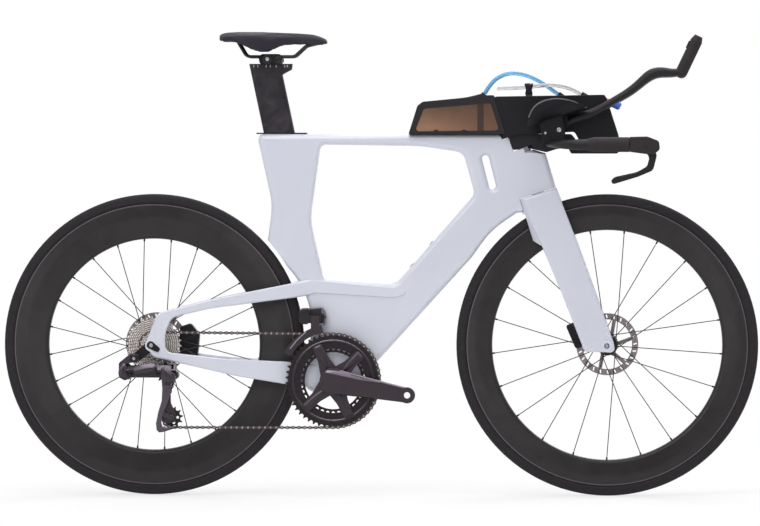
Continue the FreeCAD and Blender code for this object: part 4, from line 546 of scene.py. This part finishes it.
# padded saddle and arm pads: the solid's own form, remeshed, blown up a little and held in by a cap
def paddedPiece(settings):
    source = nodes[settings["node"]]
    mesh = source.data.copy()
    mesh.transform(source.matrix_world)
    piece = bpy.data.objects.new(settings["name"], mesh)
    scene.collection.objects.link(piece)
    editAll(piece)
    bpy.ops.mesh.remove_doubles(threshold=weldGap)
    bpy.ops.object.mode_set(mode="OBJECT")
    reshape(piece, "REMESH", {"mode": "VOXEL", "voxel_size": settings["voxel"] / 1000})
    reshape(piece, "SMOOTH", {"iterations": settings["soften"]})
    reshape(piece, "DISPLACE", {"mid_level": 0, "strength": -settings["shrink"] / 1000})
    held = [v.co.copy() for v in piece.data.vertices]
    swell = piece.modifiers.new("swell", "CLOTH")
    swell.settings.use_pressure = True
    swell.settings.uniform_pressure_force = settings["pressure"]
    swell.settings.effector_weights.gravity = 0
    for step in range(settings["steps"]):
        scene.frame_set(step + 1)
    bpy.ops.object.modifier_apply(modifier=swell.name)
    scene.frame_set(1)
    for vertex, start in zip(piece.data.vertices, held):
        moved = vertex.co - start
        if moved.length > settings["cap"] / 1000:
            vertex.co = start + moved * (settings["cap"] / 1000 / moved.length)
    reshape(piece, "SUBSURF", {"levels": 1, "render_levels": 1})
    bpy.ops.object.shade_smooth()
    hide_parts(settings["node"])
    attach(piece, settings["body"])
    dress(piece, settings["finish"])
    print(settings["name"], len(piece.data.vertices), "points")
    return piece


saddleSet = {
    "name": "saddlePad", "node": "saddle_cover", "slot": "saddle_skin", "body": "saddle", "finish": saddleMat,
    "voxel": 3.0, "soften": 8, "shrink": 1.4, "cap": 2.6, "pressure": 4.0, "steps": 20, "fill": 0.8,
    "channelHalf": 12.0, "channelDepth": 5.5, "channelStart": -348.0, "channelEnd": -158.0,
    "channelRunOut": 28.0, "channelFacing": 0.2,
}
padSet = {
    "name": "armPads", "node": "arm_pads", "slot": "foam", "body": "steering", "finish": padMat,
    "voxel": 3.0, "soften": 2, "shrink": 0.5, "cap": 0.9, "pressure": 3.0, "steps": 20, "fill": 0.7,
}
saddlePad = paddedPiece(saddleSet)
paddedPiece(padSet)

# the saddle's relief channel is pressed in along its middle, with a round end fore and aft
for vertex in saddlePad.data.vertices:
    x, y = vertex.co.x * 1000, vertex.co.y * 1000
    inside = min(x - saddleSet["channelStart"], saddleSet["channelEnd"] - x)
    facing = vertex.normal.z > saddleSet["channelFacing"]
    if facing and abs(y) < saddleSet["channelHalf"] and inside > 0:
        across = math.cos(math.pi / 2 * y / saddleSet["channelHalf"]) ** 2
        along = min(1.0, inside / saddleSet["channelRunOut"])
        vertex.co.z -= saddleSet["channelDepth"] / 1000 * across * math.sin(math.pi / 2 * along)
saddlePad.data.update()
print("soft pieces done")

# a flat outline is raised into a block whose face is drawn in and pushed out, then its edges are rounded
blockSet = {"roundSteps": 3, "roundAngle": math.radians(25), "smoothAngle": math.radians(40)}


def outlinePiece(settings):
    outline, fronts = settings["outline"], settings["front"]
    if not isinstance(fronts, list):
        fronts = [fronts] * len(outline)
    feet = [Vector((x, settings["back"], z)) / 1000 for x, z in outline]
    tops = [Vector((x, front, z)) / 1000 for (x, z), front in zip(outline, fronts)]
    clearSelection()
    bpy.ops.mesh.primitive_circle_add(vertices=len(outline), fill_type="NGON")
    piece = bpy.context.object
    piece.name = settings["name"]
    for vertex, foot in zip(piece.data.vertices, feet):
        vertex.co = foot
    editAll(piece)
    bpy.ops.mesh.extrude_region_move(TRANSFORM_OT_translate={"value": (0, 0, 0)})
    bpy.ops.object.mode_set(mode="OBJECT")
    for vertex in [v for v in piece.data.vertices if v.select]:
        nearest = min(range(len(feet)), key=lambda i: (feet[i] - vertex.co).length)
        vertex.co = tops[nearest]
    bpy.ops.object.mode_set(mode="EDIT")
    if settings.get("inset"):
        bpy.ops.mesh.inset(thickness=settings["inset"] / 1000, depth=0)
        bpy.ops.transform.translate(value=(0, settings["crown"] / 1000, 0))
    bpy.ops.mesh.select_all(action="SELECT")
    bpy.ops.mesh.normals_make_consistent(inside=False)
    bpy.ops.object.mode_set(mode="OBJECT")
    reshape(piece, "BEVEL", {"width": settings["round"] / 1000, "segments": blockSet["roundSteps"],
                             "limit_method": "ANGLE", "angle_limit": blockSet["roundAngle"]})
    bpy.ops.object.shade_smooth_by_angle(angle=blockSet["smoothAngle"])
    return piece


def shellPiece(settings):
    finishPiece(outlinePiece(settings), settings["body"], settings["finish"])


def roundOutline(x, z, radius, corners=16):
    angles = [i * 2 * math.pi / corners for i in range(corners)]
    return [(x + radius * math.cos(angle), z + radius * math.sin(angle)) for angle in angles]


# rear derailleur: moulded shells over the linkage, each riding on the part it covers
mechSets = [
    {"name": "mechHousing", "body": "frame", "back": -78, "front": -98, "inset": 6.5, "crown": -8.0,
     "round": 1.2,
     "outline": [(-583, 277), (-581, 289), (-573, 299), (-566.5, 298.5), (-562, 286), (-559.5, 272),
                 (-563, 262.5), (-569, 261), (-581, 267.5)]},
    {"name": "mechLinkShell", "body": "outer_link", "back": -94, "front": -98, "inset": 9.0, "crown": -8.0,
     "round": 1.0,
     "outline": [(-552, 268), (-553, 284), (-546, 292), (-528, 297), (-508, 300), (-498, 296), (-495, 285),
                 (-497, 275), (-515, 271), (-535, 268)]},
    {"name": "mechKnuckleShell", "body": "knuckle", "back": -104, "front": -105.5, "inset": 8.0,
     "crown": -6.5, "round": 1.0,
     "outline": [(-486, 266), (-486, 289), (-478, 294), (-468, 287), (-461, 279), (-456.5, 267), (-458, 258),
                 (-467, 250), (-481, 252)]},
    {"name": "mechKnuckleNeck", "body": "knuckle", "back": -93, "front": -106, "inset": 1.0, "crown": -0.5,
     "round": 0.8, "outline": [(-461.3, 262), (-461.3, 280), (-456, 276), (-453, 269), (-455, 260)]},
    {"name": "mechCageArm", "body": "cage", "finish": cageMat, "back": -62.4, "front": -64.2, "inset": 2.6,
     "crown": -2.6, "round": 0.5,
     "outline": [(-487, 283), (-489, 262), (-487, 245), (-488.5, 214), (-496, 190), (-501.5, 163),
                 (-500, 148), (-494, 142.5), (-484, 144), (-456, 153), (-455, 158), (-478, 154),
                 (-487.5, 157), (-489.5, 166), (-484.5, 186), (-476, 206), (-469, 228), (-466.5, 247),
                 (-467.5, 264), (-471, 281)]},
    {"name": "mechCageBoss", "body": "cage", "back": -55.2, "front": -65.2, "inset": 1.0, "crown": -0.5,
     "round": 0.6, "outline": roundOutline(-466.3, 176.06, 6)},
    {"name": "mechCageStrut", "body": "cage", "back": -62.6, "front": -65.2, "inset": 0.8, "crown": -0.4,
     "round": 0.5, "outline": [(-497, 184), (-492, 193), (-466, 181), (-463, 174), (-469, 170)]},
    {"name": "mechCagePivot", "body": "cage", "back": -61.0, "front": -67.0, "inset": 1.2, "crown": -0.6,
     "round": 0.6, "outline": roundOutline(-479.5, 277, 5.6)},
]

# front derailleur: its motor's housing, a plate in front of that and the bright edge of its cage
shifterSets = [
    {"name": "shifterMotor", "body": "frame", "finish": shifterMat, "back": -44, "front": -56.5, "inset": 3.0,
     "crown": -1.6, "round": 1.0,
     "outline": [(-180, 392), (-181, 413), (-174, 422), (-160, 423), (-156, 416), (-156, 392), (-161, 386),
                 (-175, 386)]},
    {"name": "shifterPlate", "body": "frame", "finish": facetMat, "back": -40, "front": -43.6, "inset": 2.0,
     "crown": -1.2, "round": 0.6,
     "outline": [(-125.6, 384), (-125.6, 407.5), (-131, 409), (-131, 419), (-127, 423), (-121.5, 415),
                 (-118.5, 402), (-120, 388), (-123.5, 382)]},
    {"name": "shifterCageEdge", "body": "shifter_cage", "finish": boltMat, "slot": "steel", "back": -54.6,
     "front": -56.0, "inset": 0.3, "crown": -0.15, "round": 0.15,
     "outline": [(-163.5, 368.5), (-172, 361.2), (-186, 347.5), (-199.5, 330.5), (-201, 331.6), (-187.2, 349),
                 (-173, 362.8), (-164.5, 370)]},
]
for shellSet in mechSets + shifterSets:
    shellPiece({"finish": mechMat, "slot": "alloy_dark", **shellSet})
print("derailleur shells done")

# crank: a chamfer along the arm's upper edge in a paler copy of its alloy as a painted highlight, ridges on the
# spider and a lip round the outer ring
crankSet = {"turn": math.radians(-10.6), "blades": (55, 125, -125, -55),
            "ridge": ((31, -3), (52, -6.5), (86, -8), (86, 8), (52, 6.5), (31, 3)),
            "lipRadius": 90.0, "lipWidth": 3.0, "lipY": -51.3, "lipFlat": 0.45}
# the chamfer's paler alloy is a painted highlight on its upward face
facetSet = {
    "name": "crankFacet", "body": "crankset", "finish": facetMat, "slot": "alloy_dark", "back": -60,
    "round": 0.3,
    "outline": [(-121, 278.5), (-104, 275.5), (-87.5, 271.5), (-64, 266.5), (-41.5, 261.8), (2, 256.2),
                (2, 257.6), (-28, 264), (-45, 267.8), (-60, 272), (-73, 278), (-84, 281.5), (-97, 282.6),
                (-116, 284)],
    "front": [-72.4, -73.0, -73.2, -73.4, -73.8, -74.2, -73.0, -72.6, -72.4, -72.0, -71.4, -71.2, -71.2,
              -71.2],
}


def crankPoint(along, up, turn):
    angle = crankSet["turn"] + math.radians(turn)
    x = bottomBracket[0] * 1000 + along * math.cos(angle) - up * math.sin(angle)
    return (x, bottomBracket[2] * 1000 + along * math.sin(angle) + up * math.cos(angle))


shellPiece(facetSet)
ridges = []
for blade in crankSet["blades"]:
    ridgeSet = {"name": "spiderRidge", "back": -55.5, "front": -57.3, "inset": 3.6, "crown": -2.2,
                "round": 0.3, "outline": [crankPoint(along, up, blade) for along, up in crankSet["ridge"]]}
    ridges.append(outlinePiece(ridgeSet))
finishPiece(joinPieces(ridges, "spiderRidges"), "crankset", crankMat)

# the lip's finish paints its upper arc paler as a painted highlight and its lower arc dark as painted shade
lipCentre = (bottomBracket[0], crankSet["lipY"] / 1000, bottomBracket[2])
clearSelection()
bpy.ops.mesh.primitive_torus_add(major_segments=96, minor_segments=8, location=lipCentre,
                                 major_radius=crankSet["lipRadius"] / 1000,
                                 minor_radius=crankSet["lipWidth"] / 1000, rotation=(math.pi / 2, 0, 0))
ringLip = bpy.context.object
ringLip.name = "ringLip"
bpy.ops.object.transform_apply(location=True, rotation=True, scale=True)
editAll(ringLip)
bpy.ops.transform.resize(value=(1, crankSet["lipFlat"], 1), center_override=lipCentre)
bpy.ops.object.mode_set(mode="OBJECT")
bpy.ops.object.shade_smooth()
finishPiece(ringLip, "crankset", lipMat)
print("crank trim done")

# stepped bolt head with a socket, modelled once at the origin and copied to each place, where it faces outward;
# step and socket are shares of its height, and rim, land and round are shares of its radius
headSet = {"sides": 24, "topFacing": 0.9, "rim": 0.18, "step": 0.25, "land": 0.32, "socket": 0.7,
           "round": 0.06, "roundSteps": 2}


def boltHead(radius, height):
    clearSelection()
    bpy.ops.mesh.primitive_cylinder_add(vertices=headSet["sides"], radius=radius, depth=height,
                                        location=(0, 0, height / 2))
    piece = bpy.context.object
    bpy.ops.object.transform_apply(location=True)
    bpy.ops.object.mode_set(mode="EDIT")
    bpy.ops.mesh.select_all(action="DESELECT")
    bpy.ops.object.mode_set(mode="OBJECT")
    for face in piece.data.polygons:
        face.select = face.normal.z > headSet["topFacing"]
    bpy.ops.object.mode_set(mode="EDIT")
    bpy.ops.mesh.inset(thickness=radius * headSet["rim"], depth=0)
    bpy.ops.transform.translate(value=(0, 0, height * headSet["step"]))
    bpy.ops.mesh.inset(thickness=radius * headSet["land"], depth=0)
    bpy.ops.mesh.extrude_region_move(TRANSFORM_OT_translate={"value": (0, 0, -height * headSet["socket"])})
    bpy.ops.object.mode_set(mode="OBJECT")
    reshape(piece, "BEVEL", {"width": radius * headSet["round"], "segments": headSet["roundSteps"],
                             "limit_method": "ANGLE"})
    bpy.ops.object.shade_smooth_by_angle(angle=blockSet["smoothAngle"])
    return piece


def boltGroup(settings):
    master = boltHead(settings["radius"] / 1000, settings["height"] / 1000)
    copies = []
    for x, y, z in settings["spots"]:
        bolt = copyPiece(master)
        outward = Vector((0, 1 if y > 0 else -1, 0))
        turn = outward.to_track_quat("Z", "Y").to_matrix().to_4x4()
        bolt.data.transform(Matrix.Translation((x / 1000, y / 1000, z / 1000)) @ turn)
        copies.append(bolt)
    bpy.data.objects.remove(master)
    whole = joinPieces(copies, settings["name"])
    finishPiece(whole, settings["body"], settings.get("finish", darkBoltMat))


def bothSides(x, y, z):
    return [(x, -y, z), (x, y, z)]


boltSets = [
    {"name": "clampDiscs", "body": "seat", "radius": 11.5, "height": 3.0,
     "spots": bothSides(-253, 27, 981.5)},
    {"name": "clampDiscsFront", "body": "seat", "radius": 9.0, "height": 2.6,
     "spots": bothSides(-228, 27, 979.5)},
    {"name": "clampBolts", "body": "seat", "radius": 4.6, "height": 1.4, "finish": boltMat,
     "spots": bothSides(-253, 30.4, 981.5)},
    {"name": "rearAxleEnds", "body": "frame", "radius": 4.4, "height": 0.8, "finish": boltMat,
     "spots": [(-510.5, -84.4, 339), (-510.5, 83.0, 339)]},
    {"name": "frontAxleEnds", "body": "steering", "radius": 4.2, "height": 0.8, "finish": boltMat,
     "spots": bothSides(510.5, 67.0, 339)},
    {"name": "bracketBolts", "body": "steering", "radius": 4.2, "height": 1.2, "finish": boltMat,
     "spots": bothSides(373, 101, 815)},
    # a silver bolt head set where the glossy black bracket shows a glint, a painted highlight
    {"name": "bracketGlintHeads", "body": "steering", "radius": 5.4, "height": 1.6, "finish": boltMat,
     "spots": bothSides(404, 103.6, 822)},
    {"name": "leverPins", "body": "steering", "radius": 3.4, "height": 0.6,
     "spots": bothSides(596, 214.9, 784)},
    {"name": "caliperBolts", "body": "frame", "radius": 3.4, "height": 1.2, "finish": boltMat,
     "spots": [(-446, 74.8, 366), (-428, 74.8, 328)]},
    {"name": "mechMountCap", "body": "frame", "radius": 3.4, "height": 0.9, "finish": boltMat,
     "spots": [(-548, -99.3, 310)]},
    {"name": "shifterPlateBolt", "body": "frame", "radius": 2.4, "height": 0.8,
     "spots": [(-122.2, -44.4, 402)]},
    {"name": "mechMountBolt", "body": "frame", "radius": 9.0, "height": 3.0, "spots": [(-548, -96.5, 310)]},
    {"name": "shifterBolts", "body": "frame", "radius": 2.6, "height": 1.0,
     "spots": [(-168, -57.8, 412), (-166, -57.8, 397)]},
]
for boltRow in boltSets:
    boltGroup(boltRow)
print("bolts done")

# arm cups: a rolled bead along the edge of each round shell, on its outer and its inner side, in a pale tone
# that is a painted highlight along the edge
cupSet = {"tilt": math.radians(18), "foot": (400.0, 850.0), "half": 92.0, "tube": 52.0, "bead": 1.6,
          "rim": [(337, 850), (341, 862), (352, 877), (372, 887.5), (398, 892), (427, 888.5), (451, 880.5),
                  (464, 871.5)]}


def rimPoint(x, z, side):
    up = (-math.sin(cupSet["tilt"]), math.cos(cupSet["tilt"]))
    centre = (cupSet["foot"][0] + up[0] * cupSet["tube"], cupSet["foot"][1] + up[1] * cupSet["tube"])
    height = (x - centre[0]) * up[0] + (z - centre[1]) * up[1]
    reach = math.sqrt(max(0.0, cupSet["tube"] ** 2 - height ** 2))
    return (x, -(cupSet["half"] + side * reach), z)


beads = []
for side in (1, -1):
    beadLine = routeLine("cupRim", [rimPoint(x, z, side) for x, z in cupSet["rim"]], steps=8)
    beads.append(tubeAlong(beadLine, cupSet["bead"], roundness=3))
finishPiece(joinBothSides(beads, "cupRims"), "steering", beadHighlightMat)

clipSet = {"name": "strawClip", "body": "steering", "finish": boxMat, "slot": "black_plastic", "back": -18.6,
           "front": -20.6, "inset": 1.0, "crown": -0.6, "round": 0.4,
           "outline": [(326, 902), (328, 912), (324.8, 925), (328, 927.5), (331.5, 922.5), (338, 922.5),
                       (341.5, 927.5), (344.7, 925), (341.5, 912), (343.5, 902)]}
shellPiece(clipSet)

# light setback ticks along the post head and clips under the storage box's window, the same on both sides
tickSet = {"name": "postTick", "back": -11.0, "front": -12.6, "inset": 0.1, "crown": -0.05, "round": 0.1,
           "xs": (-284.6, -275.3, -256.6, -247.3, -234.2, -215.0, -209.0),
           "shape": [(-1.1, 963.0), (1.1, 963.0), (1.1, 968.5), (-1.1, 968.5)]}
windowClipSet = {"name": "windowClip", "back": -36.0, "front": -37.5, "inset": 0.4, "crown": -0.2,
                 "round": 0.2, "xs": (127, 190), "shape": [(-6, 818.5), (6, 818.5), (4, 822.5), (-4, 822.5)]}


def rowOfPieces(settings):
    outlines = [[(x + dx, z) for dx, z in settings["shape"]] for x in settings["xs"]]
    return [outlinePiece({**settings, "outline": outline}) for outline in outlines]


finishPiece(joinBothSides(rowOfPieces(tickSet), "postTicks"), "seat", printMat)
finishPiece(joinBothSides(rowOfPieces(windowClipSet), "windowClips"), "frame", storageMat)
print("edges, ticks and clips done")


# chain pins: a small head on both ends of every pin, half way between neighbouring links
def linkCentres():
    loose = bpy.data.objects.new("chainLoose", nodes["chain"].data.copy())
    scene.collection.objects.link(loose)
    editAll(loose)
    bpy.ops.mesh.remove_doubles(threshold=weldGap)
    bpy.ops.mesh.separate(type="LOOSE")
    bpy.ops.object.mode_set(mode="OBJECT")
    links = list(bpy.context.selected_objects)
    centres = [sum((Vector(corner) for corner in link.bound_box), Vector()) / 8 for link in links]
    for link in links:
        bpy.data.objects.remove(link)
    return centres


pinSet = {"sides": 10, "radius": 1.9, "depth": 0.7, "round": 0.14, "pitch": 12.7, "reach": 1.15,
          "ends": (-52.6, -47.4)}
centres = linkCentres()
clearSelection()
bpy.ops.mesh.primitive_cylinder_add(vertices=pinSet["sides"], radius=pinSet["radius"] / 1000,
                                    depth=pinSet["depth"] / 1000, rotation=(math.pi / 2, 0, 0))
pinHead = bpy.context.object
bpy.ops.object.transform_apply(rotation=True)
reshape(pinHead, "BEVEL", {"width": pinSet["round"] / 1000, "segments": 1, "limit_method": "ANGLE"})
heads = []
for i, centre in enumerate(centres):
    for other in centres[i + 1:]:
        if (other - centre).length < pinSet["pitch"] * pinSet["reach"] / 1000:
            middle = (centre + other) / 2
            for y in pinSet["ends"]:
                head = copyPiece(pinHead)
                head.data.transform(Matrix.Translation((middle.x, y / 1000, middle.z)))
                heads.append(head)
bpy.data.objects.remove(pinHead)
finishPiece(joinPieces(heads, "chainPins"), "frame", boltMat)
print("chain pins", len(heads))

# floor of white paper: keeps the shadow near the wheels and runs out to plain white for the eye
floorSet = {"size": 40, "height": -0.0005, "stretch": (0.75, 1, 0), "nearWhite": 0.62, "shadowReach": 0.9,
            "shadowEnd": 2.0}
clearSelection()
bpy.ops.mesh.primitive_plane_add(size=floorSet["size"], location=(0, 0, floorSet["height"]))
floor = bpy.context.object
floor.name = "studioFloor"
floorMat, tree, shader = newMaterial("studioPaper", {"Base Color": (0.9, 0.9, 0.9, 1), "Roughness": 0.9,
                                                     "Specular IOR Level": 0.0})
distance = spotLength(tree, objectSpot(tree), floorSet["stretch"])
away = spread(tree, distance, low=floorSet["nearWhite"], high=1.0,
              start=floorSet["shadowReach"], end=floorSet["shadowEnd"])
straight, glossy = rayKinds(tree)
shown = calculate(tree, "ADD", straight, glossy, clamp=True)
amount = calculate(tree, "MULTIPLY", shown, away)
glow = addNode(tree, "ShaderNodeEmission", {"Color": (1, 1, 1, 1), "Strength": 1.0})
paper = addNode(tree, "ShaderNodeMixShader", {0: amount, 1: shader.outputs[0], 2: glow.outputs[0]})
feed(tree, tree.nodes["Material Output"], {"Surface": paper.outputs[0]})
dress(floor, floorMat)

lampAim = Vector((0, 0, 0.5))
lamps = {
    "keyLamp": {"place": (-1.6, -4.5, 3.6), "size": 3.0, "power": 95},
    "topLamp": {"place": (0.3, -0.4, 4.2), "size": 4.0, "power": 110},
    "backLamp": {"place": (1.2, 3.6, 2.8), "size": 3.0, "power": 80},
}
for lampName, lamp in lamps.items():
    bpy.ops.object.light_add(type="AREA", location=lamp["place"])
    light = bpy.context.object
    light.name = lampName
    light.data.size = lamp["size"]
    light.data.energy = lamp["power"]
    light.rotation_euler = (lampAim - light.location).to_track_quat("-Z", "Y").to_euler()

# the room is white behind and above and dim in front, as a studio is behind the camera
worldSet = {"soft": 0.42, "dimFront": 0.35, "dimUpTo": -0.75, "whiteFrom": 0.1}
world = bpy.data.worlds.new("studioWorld")
scene.world = world
world.use_nodes = True
tree = world.node_tree
tree.nodes.clear()
way = addNode(tree, "ShaderNodeTexCoord").outputs["Generated"]
front = spread(tree, axesOf(tree, way)["Y"], low=worldSet["dimFront"], high=1.0,
               start=worldSet["dimUpTo"], end=worldSet["whiteFrom"])
straight, glossy = rayKinds(tree)
soft = addNode(tree, "ShaderNodeBackground", {"Color": (1, 1, 1, 1), "Strength": worldSet["soft"]})
room = addNode(tree, "ShaderNodeBackground", {"Color": (1, 1, 1, 1), "Strength": front})
white = addNode(tree, "ShaderNodeBackground", {"Color": (1, 1, 1, 1), "Strength": 1.0})
mirrored = addNode(tree, "ShaderNodeMixShader", {0: glossy, 1: soft.outputs[0], 2: room.outputs[0]})
either = addNode(tree, "ShaderNodeMixShader", {0: straight, 1: mirrored.outputs[0], 2: white.outputs[0]})
addNode(tree, "ShaderNodeOutputWorld", {"Surface": either.outputs[0]})
print("studio set")
